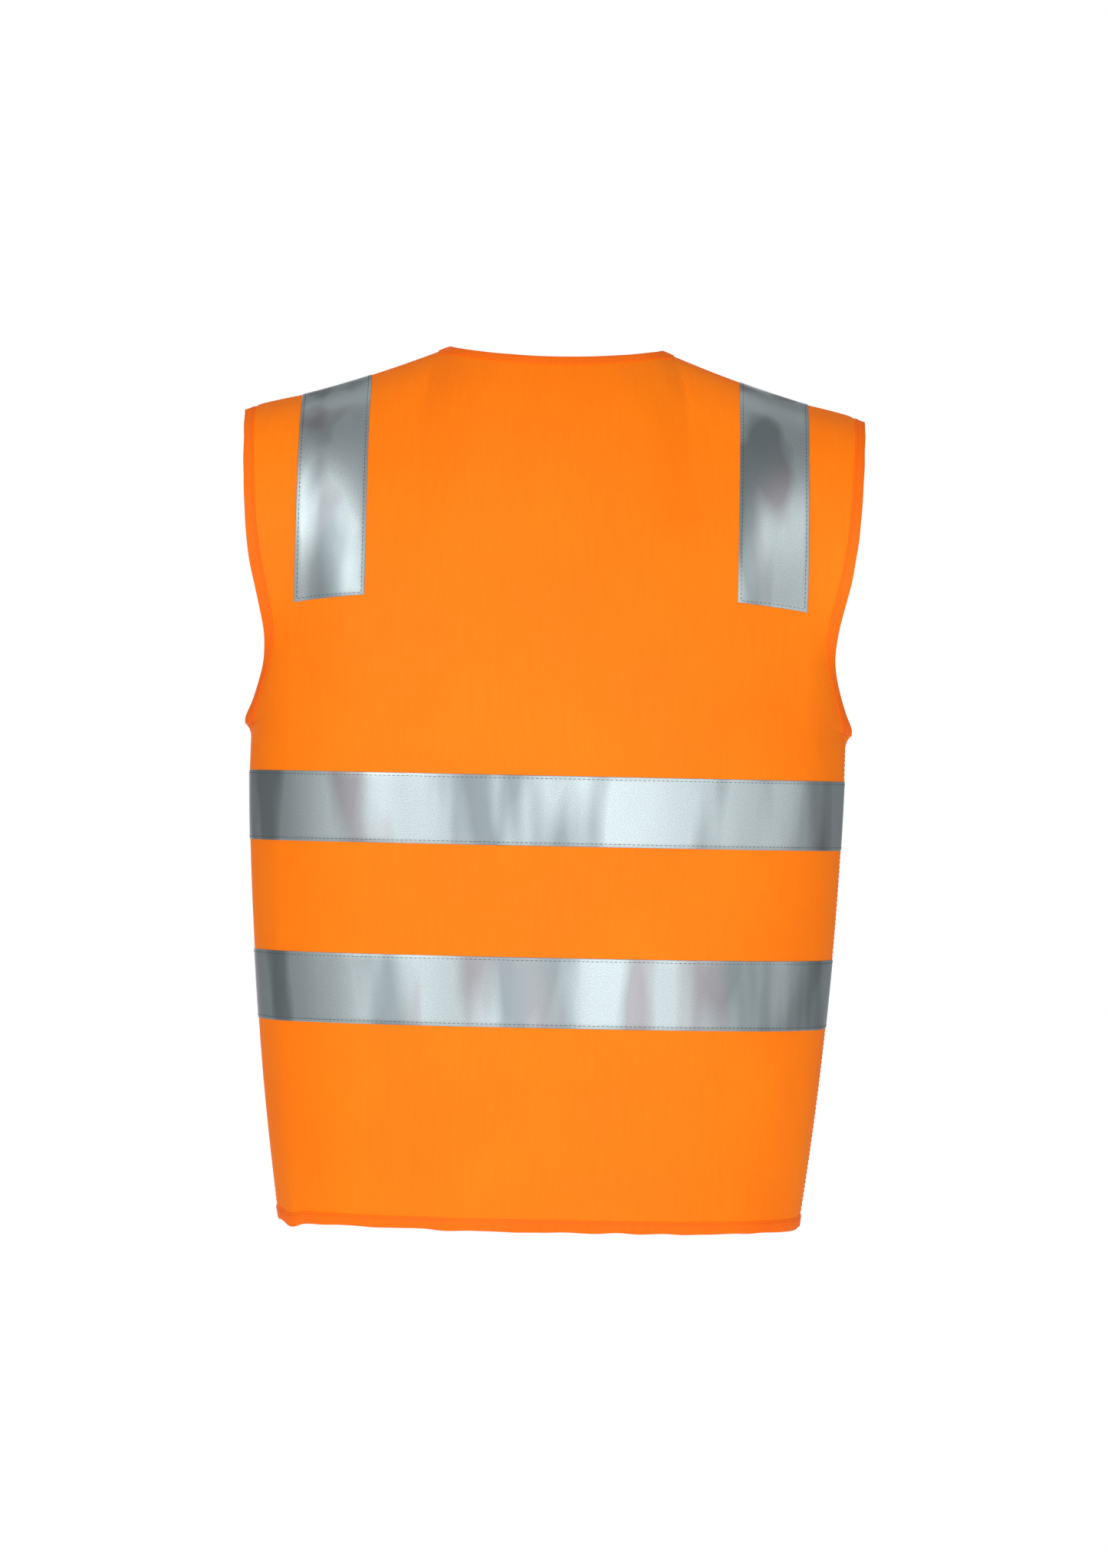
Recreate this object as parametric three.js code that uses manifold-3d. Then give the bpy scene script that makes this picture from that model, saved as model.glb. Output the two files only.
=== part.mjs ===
// A high visibility vest in the shape it takes on a wearer, with its front zip undone and the two
// fronts hanging side by side.
//
// Millimetres. +Z is up and the wearer faces -Y, so the wearer's left is +X. The origin is the
// centre of the neck opening, level with the two points where the shoulder seams meet the neck.
//
// Every soft piece is a thin sheet laid on one garment surface. A place on that surface has a face
// (back or front), a column c that runs from the centre line to the armhole and side seam, and a
// row r that runs from the hem to the neck and shoulder seam. Pieces that lie on each other share
// their rows and columns, so that their facets stay parallel.
import * as THREE from "three";
import { mergeVertices } from "three/addons/utils/BufferGeometryUtils.js";
import Module from "manifold-3d";

const wasm = await Module();
wasm.setup();

// ---------------------------------------------------------------------------------------------
// Driving dimensions
// ---------------------------------------------------------------------------------------------
const BODY_LENGTH = 632; // neck point to hem
const UNDERARM_DROP = 275; // neck point to the bottom of the armhole
const CHEST_HALF_WIDTH = 215;
const HEM_HALF_WIDTH = 188;
const SHOULDER_HALF_WIDTH = 224;
const SHOULDER_DROP = 47; // neck point to shoulder tip
const NECK_HALF_WIDTH = 77;
const BACK_NECK_DEPTH = 58; // how far back the neck edge lies
const BACK_NECK_DROP = 9;
const V_DROP = 240; // neck point to the top of the front edges
const BACK_DEPTH = 126;
const FRONT_DEPTH = 140;
const ARMHOLE_BULGE = 72; // how far the armhole edge stands back, or forward, of the seams
const ARMHOLE_SCOOP = 13; // how far it curves in above the underarm
const CENTRE_FLAT = 21; // half-width of the flat strip down the middle of each face
const ROUNDNESS = 2.3; // exponent of the superellipse that carries it on round to the side

const FABRIC = 0.8;
const LAY = 0.3; // clearance between two layers that lie on each other
const TAPE = 0.5; // thickness of the reflective tape
const TAPE_WIDTH = 50;
const HEM_TO_LOWER_TAPE = 144;
const BETWEEN_TAPES = 79;
const STRAP_INSET = 133.5; // centre line to the inner edge of the shoulder tape
const STRAP_LENGTH = 186; // shoulder seam to the end of the shoulder tape, along the cloth
const BINDING = 0.5;
const BINDING_WIDTH = 10;

const LABEL_THICKNESS = 0.3;

const ZIP = {
  edgeGap: 9, // centre line to the folded front edge
  halfGap: 4, // centre line to the teeth
  toothWidth: 2.6,
  toothDepth: 2.4,
  beadWidth: 1.1,
  pitch: 4,
  toothHeight: 2,
  tapeReach: 20, // centre line to the outer edge of the zip tape
  tapeThickness: 0.5,
  endGap: 1, // between the zip and the bindings above and below it
  stopHeight: 4,
  pinLength: 20,
};
const SLIDER = {
  halfWidth: 5.4,
  length: 13,
  plate: 0.9,
  flange: 0.8,
  slotHalf: 0.65,
  postWidth: 1.8,
  teethClearance: 0.3,
  bridgeHalfWidth: 0.9,
  bridgeHalfLength: 4.5,
  bridgeBar: 1,
  bridgeGap: 2.15,
};
const BOX = { halfWidth: 4.6, height: 9, wall: 0.9 };
const PULL = { width: 7, length: 25, thickness: 1.3, eyeWidth: 3.2, eyeLength: 6 };

// ---------------------------------------------------------------------------------------------
// Values worked out from them
// ---------------------------------------------------------------------------------------------
const HEM_Z = -BODY_LENGTH;
const UNDERARM_Z = -UNDERARM_DROP;
const LOWER_TAPE_Z = HEM_Z + HEM_TO_LOWER_TAPE;
const UPPER_TAPE_Z = LOWER_TAPE_Z + TAPE_WIDTH + BETWEEN_TAPES;
const STRAP_OUTSET = STRAP_INSET + TAPE_WIDTH;
const SEAM_HALF = LAY * 0.7; // each panel stops this short of a seam's plane
const UNDER = -LAY; // just inside the cloth
const OVER = FABRIC + LAY; // just outside it

// Columns: 0 the centre line of the back, or the front edge and V neck; 1 the neck point of the
// back, or where the front's neck binding starts; 2 and 3 the edges of the shoulder tape; 4 where
// the armhole binding starts; 5 the armhole edge and side seam.
const COL = { centre: 0, neck: 1, strapIn: 2, strapOut: 3, binding: 4, edge: 5 };
// Rows: 0 hem, 1 top of the hem binding, 2 to 5 the edges of the two tapes, 6 the underarm and the
// foot of the V neck, 7 the end of the shoulder tape, 8 where the back neck binding starts, 9 the
// neck and shoulder edge.
const ROW = {
  hem: 0,
  hemBinding: 1,
  lowerTape: 2,
  upperTape: 4,
  underarm: 6,
  strapEnd: 7,
  binding: 8,
  edge: 9,
};
const ROW_Z = [
  HEM_Z,
  HEM_Z + BINDING_WIDTH,
  LOWER_TAPE_Z,
  LOWER_TAPE_Z + TAPE_WIDTH,
  UPPER_TAPE_Z,
  UPPER_TAPE_Z + TAPE_WIDTH,
];
// Where each stretch of columns or rows is cut into facets, as shares of the stretch.
const LABEL_COLUMN = 0.18; // the edge of the size label, a share of the way to the neck point
const WHOLE = [1];
const HALVES = [0.5, 1];
const THIRDS = [1 / 3, 2 / 3, 1];
const QUARTERS = [0.25, 0.5, 0.75, 1];
const FIFTHS = [0.2, 0.4, 0.6, 0.8, 1];
const UNDERARM_CUTS = [0.12, 0.35, 0.65, 1]; // closer where the armhole turns
const BACK_CUTS = [[LABEL_COLUMN, 0.45, 0.72, 1], HALVES, HALVES, QUARTERS, WHOLE];
const FRONT_CUTS = [WHOLE, QUARTERS, HALVES, QUARTERS, WHOLE];
const ROW_CUTS = [WHOLE, THIRDS, WHOLE, HALVES, WHOLE, WHOLE, UNDERARM_CUTS, FIFTHS, WHOLE];
const CURVE_STEPS = 48; // samples used to measure a curve's length

const { lerp, clamp } = THREE.MathUtils;
const vec = (x, y, z) => new THREE.Vector3(x, y, z);
const mix = (a, b, t) => a.clone().lerp(b, t);

// ---------------------------------------------------------------------------------------------
// The garment surface, on the wearer's left half (x >= 0)
// ---------------------------------------------------------------------------------------------
const FACES = {
  back: { sign: 1, depth: BACK_DEPTH, centre: 0, middle: NECK_HALF_WIDTH * 1.3, cuts: BACK_CUTS },
  front: {
    sign: -1,
    depth: FRONT_DEPTH,
    centre: ZIP.edgeGap,
    middle: ZIP.edgeGap + BINDING_WIDTH,
    cuts: FRONT_CUTS,
  },
};
// How the cloth falls from its top edge: its slope as it leaves, and how far that slope carries.
const RIDGE_SLOPE = -0.12;
const NECK_SLOPE = -0.8;
const SHOULDER_REACH = 76;
const NECK_REACH = 52;
const NECK_POINT_REACH = 40;
const CHEST_REACH = 120;
const NECK_FAN = Math.PI * 0.25; // the back's columns fan out by this much round the neck point

// Share of the way from the underarm to the hem.
const belowArm = (z) => clamp((UNDERARM_Z - z) / (UNDERARM_Z - HEM_Z), 0, 1);
const halfWidthAt = (z) => lerp(CHEST_HALF_WIDTH, HEM_HALF_WIDTH, belowArm(z));

// The body's section at a height: flat across the middle, then a superellipse whose angle 0 is
// the side seam.
function sectionPoint(face, z, angle) {
  const x = CENTRE_FLAT + (halfWidthAt(z) - CENTRE_FLAT) * Math.cos(angle) ** (2 / ROUNDNESS);
  return vec(x, face.depth * Math.sin(angle) ** (2 / ROUNDNESS), z);
}
function sectionAngle(z, x) {
  const share = Math.max(x - CENTRE_FLAT, 0) / (halfWidthAt(z) - CENTRE_FLAT);
  return Math.acos(share ** (ROUNDNESS / 2));
}
function sectionAt(face, z, x) {
  return vec(x, sectionPoint(face, z, sectionAngle(z, x)).y, z);
}

// Where a column up to the shoulder tape's outer edge lies at underarm height.
function columnX(face, c) {
  if (c <= COL.neck) return lerp(face.centre, face.middle, c);
  if (c <= COL.strapIn) return lerp(face.middle, STRAP_INSET, c - COL.neck);
  return lerp(STRAP_INSET, STRAP_OUTSET, c - COL.strapIn);
}

// Below the underarm the columns draw in with the body, and the centre one stays straight.
function columnXAt(face, c, z) {
  const taper = (halfWidthAt(z) - face.centre) / (CHEST_HALF_WIDTH - face.centre);
  return face.centre + (columnX(face, c) - face.centre) * taper;
}

// Row 6 runs level at the sides and rises on the front to the foot of the V neck.
function footZ(face, x) {
  const share = clamp((x - face.middle) / (STRAP_OUTSET - face.middle), 0, 1);
  return face.sign > 0 ? UNDERARM_Z : lerp(-V_DROP, UNDERARM_Z, share);
}

function shoulderZ(x) {
  const share = clamp((x - NECK_HALF_WIDTH) / (SHOULDER_HALF_WIDTH - NECK_HALF_WIDTH), 0, 1);
  return -SHOULDER_DROP * share * (1.3 - 0.3 * share);
}

// The fall of the cloth from a place on its top edge. turn is how far it fans out, seen from above.
function fall(face, top, footX, turn, slope, reach) {
  const foot = sectionAt(face, footZ(face, footX), footX);
  const aside = shoulderZ(top.x + 1) - shoulderZ(top.x);
  const drop = Math.sin(turn) * aside + Math.cos(turn) * slope;
  const leave = top.clone().add(vec(Math.sin(turn), Math.cos(turn), drop).setLength(reach));
  const arrive = foot.clone().add(vec(0, 0, CHEST_REACH));
  const curve = new THREE.CubicBezierCurve3(top, leave, arrive, foot);
  return measured((t) => curve.getPoint(t));
}

// The fall of the front at a distance from the centre line.
function frontFall(x) {
  return cached(`front ${x.toFixed(4)}`, () =>
    fall(FACES.front, vec(x, 0, shoulderZ(x)), x, 0, RIDGE_SLOPE, SHOULDER_REACH),
  );
}

// The fall of a column of the back.
function backFall(c) {
  return cached(`back ${c}`, () => {
    const footX = columnX(FACES.back, c);
    if (c > COL.strapIn) {
      const top = vec(footX, 0, shoulderZ(footX));
      return fall(FACES.back, top, footX, 0, RIDGE_SLOPE, SHOULDER_REACH);
    }
    if (c > COL.neck) {
      const x = lerp(NECK_HALF_WIDTH, STRAP_INSET, c - COL.neck);
      const turn = NECK_FAN * (COL.strapIn - c) ** 2;
      const reach = lerp(NECK_POINT_REACH, SHOULDER_REACH, c - COL.neck);
      return fall(FACES.back, vec(x, 0, shoulderZ(x)), footX, turn, RIDGE_SLOPE, reach);
    }
    const round = Math.cos((c * Math.PI) / 2);
    const x = NECK_HALF_WIDTH * Math.sin((c * Math.PI) / 2);
    const top = vec(x, BACK_NECK_DEPTH * round, -BACK_NECK_DROP * round ** 1.5);
    const slope = lerp(RIDGE_SLOPE, NECK_SLOPE, round);
    return fall(FACES.back, top, footX, NECK_FAN * c, slope, lerp(NECK_POINT_REACH, NECK_REACH, round));
  });
}

// The armhole edge, from the shoulder tip to the underarm.
function armholePoint(w) {
  const z = lerp(-SHOULDER_DROP, UNDERARM_Z, w);
  const x = lerp(SHOULDER_HALF_WIDTH, CHEST_HALF_WIDTH, w);
  const scoop = ARMHOLE_SCOOP * Math.sin(Math.PI * w ** 2.4) ** 2;
  const bulge = ARMHOLE_BULGE * Math.abs(Math.sin(Math.PI * w ** 0.9)) ** 0.62;
  return vec(x - scoop, w >= 1 ? 0 : bulge, z);
}

// Points spread along a curve, so that a share of its length can be looked up.
function measured(pointAt) {
  const points = Array.from({ length: CURVE_STEPS + 1 }, (_, i) => pointAt(i / CURVE_STEPS));
  const along = [0];
  for (let i = 1; i < points.length; i++) along.push(along[i - 1] + points[i].distanceTo(points[i - 1]));
  const length = along[along.length - 1];
  const at = (distance) => {
    const wanted = clamp(distance, 0, length);
    const i = Math.max(1, along.findIndex((d) => d >= wanted));
    return pointAt((i - 1 + (wanted - along[i - 1]) / (along[i] - along[i - 1])) / CURVE_STEPS);
  };
  return { length, at };
}

const curveCache = new Map();
function cached(key, make) {
  if (!curveCache.has(key)) curveCache.set(key, make());
  return curveCache.get(key);
}

const armhole = measured(armholePoint);

// How far down from the top edge a row above the underarm lies, on a line of that length.
function dropOf(length, r) {
  const strapDrop = length * Math.min(STRAP_LENGTH / backFall(COL.strapOut).length, 0.9);
  const bindingDrop = Math.min(BINDING_WIDTH, strapDrop * 0.5);
  if (r <= ROW.strapEnd) return lerp(length, strapDrop, r - ROW.underarm);
  if (r <= ROW.binding) return lerp(strapDrop, bindingDrop, r - ROW.strapEnd);
  return lerp(bindingDrop, 0, r - ROW.binding);
}
const along = (line, r) => line.at(dropOf(line.length, r));

// The V neck draws in from the neck point to the front edge as it goes down.
function vNeckX(r) {
  const beside = frontFall(NECK_HALF_WIDTH);
  const share = along(beside, r).z / beside.at(beside.length).z;
  return lerp(NECK_HALF_WIDTH, FACES.front.centre, share);
}

// A place above row 6, up to the shoulder tape's outer edge.
function upperPoint(face, c, r) {
  if (face.sign > 0) return along(backFall(c), r);
  const edge = vNeckX(r);
  if (c > COL.strapIn) return along(frontFall(columnX(face, c)), r);
  if (c > COL.neck) return along(frontFall(lerp(edge + BINDING_WIDTH, STRAP_INSET, c - COL.neck)), r);
  return along(frontFall(edge + BINDING_WIDTH * c), r);
}

// The height of a place on row 6 or below it.
function rowZ(face, c, r) {
  const i = Math.min(Math.floor(r), ROW.underarm - 1);
  const above = i + 1 < ROW.underarm ? ROW_Z[i + 1] : footZ(face, columnX(face, Math.min(c, COL.strapOut)));
  return lerp(ROW_Z[i], above, r - i);
}

// The side of the garment between the tape's outer edge (share 0) and the seam (share 1).
function sidePoint(face, share, r) {
  const z = r <= ROW.underarm ? rowZ(face, COL.strapOut, r) : UNDERARM_Z;
  const angle = sectionAngle(z, columnXAt(face, COL.strapOut, z));
  const onSection = sectionPoint(face, z, angle * (1 - share));
  if (r <= ROW.underarm) return onSection;
  const chordStart = sectionPoint(face, UNDERARM_Z, angle);
  const chordEnd = sectionPoint(face, UNDERARM_Z, 0);
  const inner = upperPoint(face, COL.strapOut, r);
  const outer = along(armhole, r);
  const flatter = (inner.distanceTo(outer) / chordStart.distanceTo(chordEnd)) ** 2;
  const bow = onSection.sub(mix(chordStart, chordEnd, share)).multiplyScalar(flatter);
  return mix(inner, outer, share).add(bow);
}

// The share of the side's width that the armhole binding takes up in a row.
function bindingShare(face, r) {
  return cached(`binding ${face.sign} ${r}`, () => {
    const row = measured((t) => sidePoint(face, t, r));
    const step = 0.01;
    const across = sidePoint(face, 1, r).sub(sidePoint(face, 1 - step, r)).normalize();
    const above = sidePoint(face, 1, Math.min(r + step, ROW.edge));
    const edge = above.sub(sidePoint(face, 1, r - step)).normalize();
    const square = r < ROW.underarm ? 1 : Math.max(across.cross(edge).length(), 0.5);
    return Math.min(BINDING_WIDTH / square / row.length, 0.6);
  });
}

// A place on the inside of the cloth.
function surface(face, c, r) {
  let p;
  if (c > COL.strapOut) {
    const start = 1 - bindingShare(face, r);
    const share = c <= COL.binding ? start * (c - COL.strapOut) : lerp(start, 1, c - COL.binding);
    p = sidePoint(face, share, r);
  } else if (r > ROW.underarm) p = upperPoint(face, c, r);
  else {
    const z = rowZ(face, c, r);
    p = sectionAt(face, z, columnXAt(face, c, z));
  }
  return vec(p.x, face.sign * (p.y + SEAM_HALF), p.z);
}

function normal(face, c, r) {
  const step = 0.02;
  const across = surface(face, Math.min(c + step, COL.edge), r).sub(surface(face, Math.max(c - step, 0), r));
  const up = surface(face, c, Math.min(r + step, ROW.edge)).sub(surface(face, c, Math.max(r - step, 0)));
  return up.cross(across).multiplyScalar(face.sign).normalize();
}

// A place on the cloth, lifted off its inside by a distance. side is 1 on the left, -1 on the right.
function place(face, side, c, r, lift) {
  const p = surface(face, c, r).addScaledVector(normal(face, c, r), lift);
  p.y = face.sign * Math.max(face.sign * p.y, SEAM_HALF);
  p.x *= side;
  p.rank = c + r;
  return p;
}

// ---------------------------------------------------------------------------------------------
// Solids made of points
// ---------------------------------------------------------------------------------------------
// Two triangles for a quad. Places on the cloth rank by column and row, so that sheets that lie on
// each other are cut along the same diagonals.
function halves(points, a, b, c, d) {
  const oneWay = Math.abs(points[a].rank - points[c].rank);
  const otherWay = Math.abs(points[b].rank - points[d].rank);
  return oneWay >= otherWay ? [[a, b, c], [a, c, d]] : [[b, c, d], [b, d, a]];
}

function closedGeometry(points, faces) {
  const geometry = new THREE.BufferGeometry();
  const values = points.flatMap((p) => [p.x, p.y, p.z]);
  geometry.setAttribute("position", new THREE.Float32BufferAttribute(values, 3));
  let volume = 0;
  for (const [a, b, c] of faces) volume += points[a].dot(points[b].clone().cross(points[c]));
  geometry.setIndex(faces.flatMap(([a, b, c]) => (volume < 0 ? [a, c, b] : [a, b, c])));
  return geometry;
}

// A sheet between two grids of points, each a list of rows of the same length.
function sheetGeometry(inner, outer) {
  const rows = inner.length;
  const columns = inner[0].length;
  const points = [...inner.flat(), ...outer.flat()];
  const at = (layer, i, j) => layer * rows * columns + i * columns + j;
  const faces = [];
  const quad = (a, b, c, d) => faces.push(...halves(points, a, b, c, d));
  for (let i = 0; i + 1 < rows; i++)
    for (let j = 0; j + 1 < columns; j++) {
      quad(at(1, i, j), at(1, i, j + 1), at(1, i + 1, j + 1), at(1, i + 1, j));
      quad(at(0, i, j), at(0, i + 1, j), at(0, i + 1, j + 1), at(0, i, j + 1));
    }
  for (let i = 0; i + 1 < rows; i++) {
    quad(at(0, i, 0), at(1, i, 0), at(1, i + 1, 0), at(0, i + 1, 0));
    quad(at(0, i, columns - 1), at(0, i + 1, columns - 1), at(1, i + 1, columns - 1), at(1, i, columns - 1));
  }
  for (let j = 0; j + 1 < columns; j++) {
    quad(at(0, 0, j), at(0, 0, j + 1), at(1, 0, j + 1), at(1, 0, j));
    quad(at(0, rows - 1, j), at(1, rows - 1, j), at(1, rows - 1, j + 1), at(0, rows - 1, j + 1));
  }
  return closedGeometry(points, faces);
}

// A profile carried along a line: sections are rings of points, and outline is the flat profile,
// anticlockwise.
function sweptGeometry(sections, outline) {
  const n = outline.length;
  const points = sections.flat();
  const faces = [];
  for (let i = 0; i + 1 < sections.length; i++)
    for (let j = 0; j < n; j++) {
      const k = (j + 1) % n;
      faces.push(...halves(points, i * n + j, i * n + k, (i + 1) * n + k, (i + 1) * n + j));
    }
  const last = (sections.length - 1) * n;
  for (const [a, b, c] of THREE.ShapeUtils.triangulateShape(outline, [])) {
    faces.push([c, b, a], [last + a, last + b, last + c]);
  }
  return closedGeometry(points, faces);
}

const cut = (from, to, cuts) => {
  const stretches = cuts.slice(from, to).map((shares, i) => shares.map((share) => from + i + share));
  return [from, ...stretches.flat()];
};
const columns = (face, from, to) => cut(from, to, face.cuts);
const rows = (from, to) => cut(from, to, ROW_CUTS);

// A sheet of one thickness on the cloth. Each column is [side, c].
function layer(face, columnList, rowList, from, to) {
  const grid = (lift) => rowList.map((r) => columnList.map(([side, c]) => place(face, side, c, r, lift)));
  return sheetGeometry(grid(from), grid(to));
}
const oneSide = (side, list) => list.map((c) => [side, c]);
const bothSides = (list) => [
  ...list.filter((c) => c > 0).reverse().map((c) => [-1, c]),
  ...list.map((c) => [1, c]),
];

// ---------------------------------------------------------------------------------------------
// Binding: a strip folded round an edge of the cloth
// ---------------------------------------------------------------------------------------------
const BINDING_OUTLINE = [
  [BINDING_WIDTH, OVER + BINDING],
  [-LAY - BINDING, OVER + BINDING],
  [-LAY - BINDING, UNDER - BINDING],
  [BINDING_WIDTH, UNDER - BINDING],
  [BINDING_WIDTH, UNDER],
  [-LAY, UNDER],
  [-LAY, OVER],
  [BINDING_WIDTH, OVER],
].map(([reach, lift]) => new THREE.Vector2(reach, lift));

// The direction that leaves the cloth at its edge, in the plane of the cloth. at(t) gives the
// edge's [column, row], and inside(t) the place where the binding ends.
function leaving(face, side, at, inside, t) {
  const step = 0.02;
  const before = place(face, side, ...at(t - step), 0);
  const after = place(face, side, ...at(t + step), 0);
  const edge = place(face, side, ...at(t), 0);
  const out = edge.clone().sub(place(face, side, ...inside(t), 0));
  const along = after.sub(before).normalize();
  return out.addScaledVector(along, -out.dot(along)).normalize();
}

function binding(face, places, at, inside) {
  const sections = places.map(([side, t]) => {
    const out = leaving(face, side, at, inside, t);
    return BINDING_OUTLINE.map(({ x: reach, y: lift }) => {
      if (reach > 0) return place(face, side, ...inside(t), lift);
      const p = place(face, side, ...at(t), lift);
      p.addScaledVector(out, -reach);
      p.y = face.sign * Math.max(face.sign * p.y, SEAM_HALF);
      return p;
    });
  });
  return sweptGeometry(sections, BINDING_OUTLINE);
}

const neckEdge = (c) => [clamp(c, 0, COL.neck), ROW.edge];
const neckInside = (c) => [clamp(c, 0, COL.neck), ROW.binding];
const vNeckEdge = (r) => [COL.centre, clamp(r, ROW.underarm, ROW.edge)];
const vNeckInside = (r) => [COL.neck, clamp(r, ROW.underarm, ROW.edge)];
const hemEdge = (c) => [clamp(c, 0, COL.edge), ROW.hem];
const hemInside = (c) => [clamp(c, 0, COL.edge), ROW.hemBinding];
const armholeEdge = (r) => [COL.edge, clamp(r, ROW.underarm, ROW.edge)];
const armholeInside = (r) => [COL.binding, clamp(r, ROW.underarm, ROW.edge)];

// ---------------------------------------------------------------------------------------------
// Zip
// ---------------------------------------------------------------------------------------------
const ZIP_PLANE = FRONT_DEPTH + SEAM_HALF - LAY - ZIP.tapeThickness / 2; // how far forward it lies
const ZIP_BOTTOM = HEM_Z + BINDING_WIDTH + ZIP.endGap;
const ZIP_TOP = -V_DROP - ZIP.endGap;
const BOX_TOP = ZIP_BOTTOM + BOX.height;
const CHAIN_BOTTOM = ZIP_BOTTOM + ZIP.pinLength;
const CHAIN_TOP = ZIP_TOP - ZIP.stopHeight - LAY;
const TEETH_END = ZIP.halfGap + ZIP.toothWidth;
const SLIDER_X = -(ZIP.halfGap - SLIDER.postWidth / 2 - 0.5); // the slider runs on the right half
const SLIDER_REST = BOX_TOP + LAY + SLIDER.length / 2;
const INNER_HALF = ZIP.toothDepth / 2 + SLIDER.teethClearance; // half the slider's inner height
const PLATE_OUT = INNER_HALF + SLIDER.plate;
const PIVOT_OUT = PLATE_OUT + SLIDER.bridgeGap / 2;

function boxAt([x0, x1], [out0, out1], [z0, z1]) {
  const g = new THREE.BoxGeometry(Math.abs(x1 - x0), Math.abs(out1 - out0), Math.abs(z1 - z0));
  return g.translate((x0 + x1) / 2, -ZIP_PLANE - (out0 + out1) / 2, (z0 + z1) / 2);
}

function solid(geometry) {
  const bare = geometry.clone();
  bare.deleteAttribute("normal");
  bare.deleteAttribute("uv");
  const merged = mergeVertices(bare, 1e-4);
  const triVerts = new Uint32Array(merged.index.array);
  return new wasm.Manifold(
    new wasm.Mesh({ numProp: 3, vertProperties: merged.attributes.position.array, triVerts }),
  );
}
function geometryOf(manifold) {
  const { vertProperties, triVerts } = manifold.getMesh();
  const geometry = new THREE.BufferGeometry();
  geometry.setAttribute("position", new THREE.BufferAttribute(Float32Array.from(vertProperties), 3));
  return geometry.setIndex(new THREE.BufferAttribute(Uint32Array.from(triVerts), 1));
}
const joined = (geometries) => geometryOf(geometries.map(solid).reduce((a, b) => a.add(b)));

// One half of the chain: a bead along the tape with a tooth at every pitch.
function teeth(side) {
  const shape = new THREE.Shape();
  const bead = TEETH_END - ZIP.beadWidth;
  const count = Math.floor((CHAIN_TOP - CHAIN_BOTTOM - ZIP.toothHeight) / ZIP.pitch);
  shape.moveTo(side * TEETH_END, CHAIN_BOTTOM);
  shape.lineTo(side * TEETH_END, CHAIN_TOP);
  shape.lineTo(side * bead, CHAIN_TOP);
  for (let i = count; i >= 0; i--) {
    const z = CHAIN_BOTTOM + i * ZIP.pitch;
    shape.lineTo(side * bead, z + ZIP.toothHeight);
    shape.lineTo(side * ZIP.halfGap, z + ZIP.toothHeight);
    shape.lineTo(side * ZIP.halfGap, z);
    if (i > 0) shape.lineTo(side * bead, z);
  }
  const g = new THREE.ExtrudeGeometry(shape, { depth: ZIP.toothDepth, bevelEnabled: false });
  return g.rotateX(Math.PI / 2).translate(0, -ZIP_PLANE + ZIP.toothDepth / 2, 0);
}

function zipTape(side) {
  const half = ZIP.tapeThickness / 2;
  return boxAt([side * (TEETH_END + LAY), side * ZIP.tapeReach], [-half, half], [ZIP_BOTTOM, ZIP_TOP]);
}

function topStop(side) {
  const half = ZIP.toothDepth / 2;
  return boxAt([side * ZIP.halfGap, side * TEETH_END], [-half, half], [CHAIN_TOP + LAY, ZIP_TOP]);
}

// A pin along the bottom of the tape. The left one goes into the box to close the zip, and the
// right one is held in the box.
function pin(side) {
  const half = ZIP.toothDepth / 2 - 0.2;
  const foot = side > 0 ? ZIP_BOTTOM : BOX_TOP + LAY;
  return boxAt([side * ZIP.halfGap, side * TEETH_END], [-half, half], [foot, CHAIN_BOTTOM - LAY]);
}

function retainerBox() {
  const x = SLIDER_X;
  const outer = boxAt([x - BOX.halfWidth, x + BOX.halfWidth], [-PLATE_OUT, PLATE_OUT], [ZIP_BOTTOM, BOX_TOP]);
  const hole = boxAt(
    [x + 0.2, x + BOX.halfWidth - BOX.wall],
    [-ZIP.toothDepth / 2, ZIP.toothDepth / 2],
    [ZIP_BOTTOM + BOX.wall, BOX_TOP + 1],
  );
  const slot = boxAt(
    [x - BOX.halfWidth - 1, -TEETH_END],
    [-SLIDER.slotHalf, SLIDER.slotHalf],
    [ZIP_BOTTOM - 1, BOX_TOP + 1],
  );
  return geometryOf(solid(outer).subtract(solid(hole)).subtract(solid(slot)));
}

function sliderBody() {
  const low = SLIDER_REST - SLIDER.length / 2;
  const high = SLIDER_REST + SLIDER.length / 2;
  const left = SLIDER_X + SLIDER.halfWidth;
  const right = SLIDER_X - SLIDER.halfWidth;
  const plate = (sign) => boxAt([right, left], [sign * INNER_HALF, sign * PLATE_OUT], [low, high]);
  const flange = (sign, from, to) =>
    boxAt([from, to], [sign * SLIDER.slotHalf, sign * (INNER_HALF + SLIDER.plate / 2)], [low, high]);
  const parts = [
    plate(1),
    plate(-1),
    boxAt(
      [SLIDER_X - SLIDER.postWidth / 2, SLIDER_X + SLIDER.postWidth / 2],
      [-INNER_HALF - SLIDER.plate / 2, INNER_HALF + SLIDER.plate / 2],
      [SLIDER_REST, high],
    ),
  ];
  for (const sign of [1, -1])
    parts.push(flange(sign, right, right + SLIDER.flange), flange(sign, left - SLIDER.flange, left));
  return joined([...parts, ...bridge()]);
}

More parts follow.
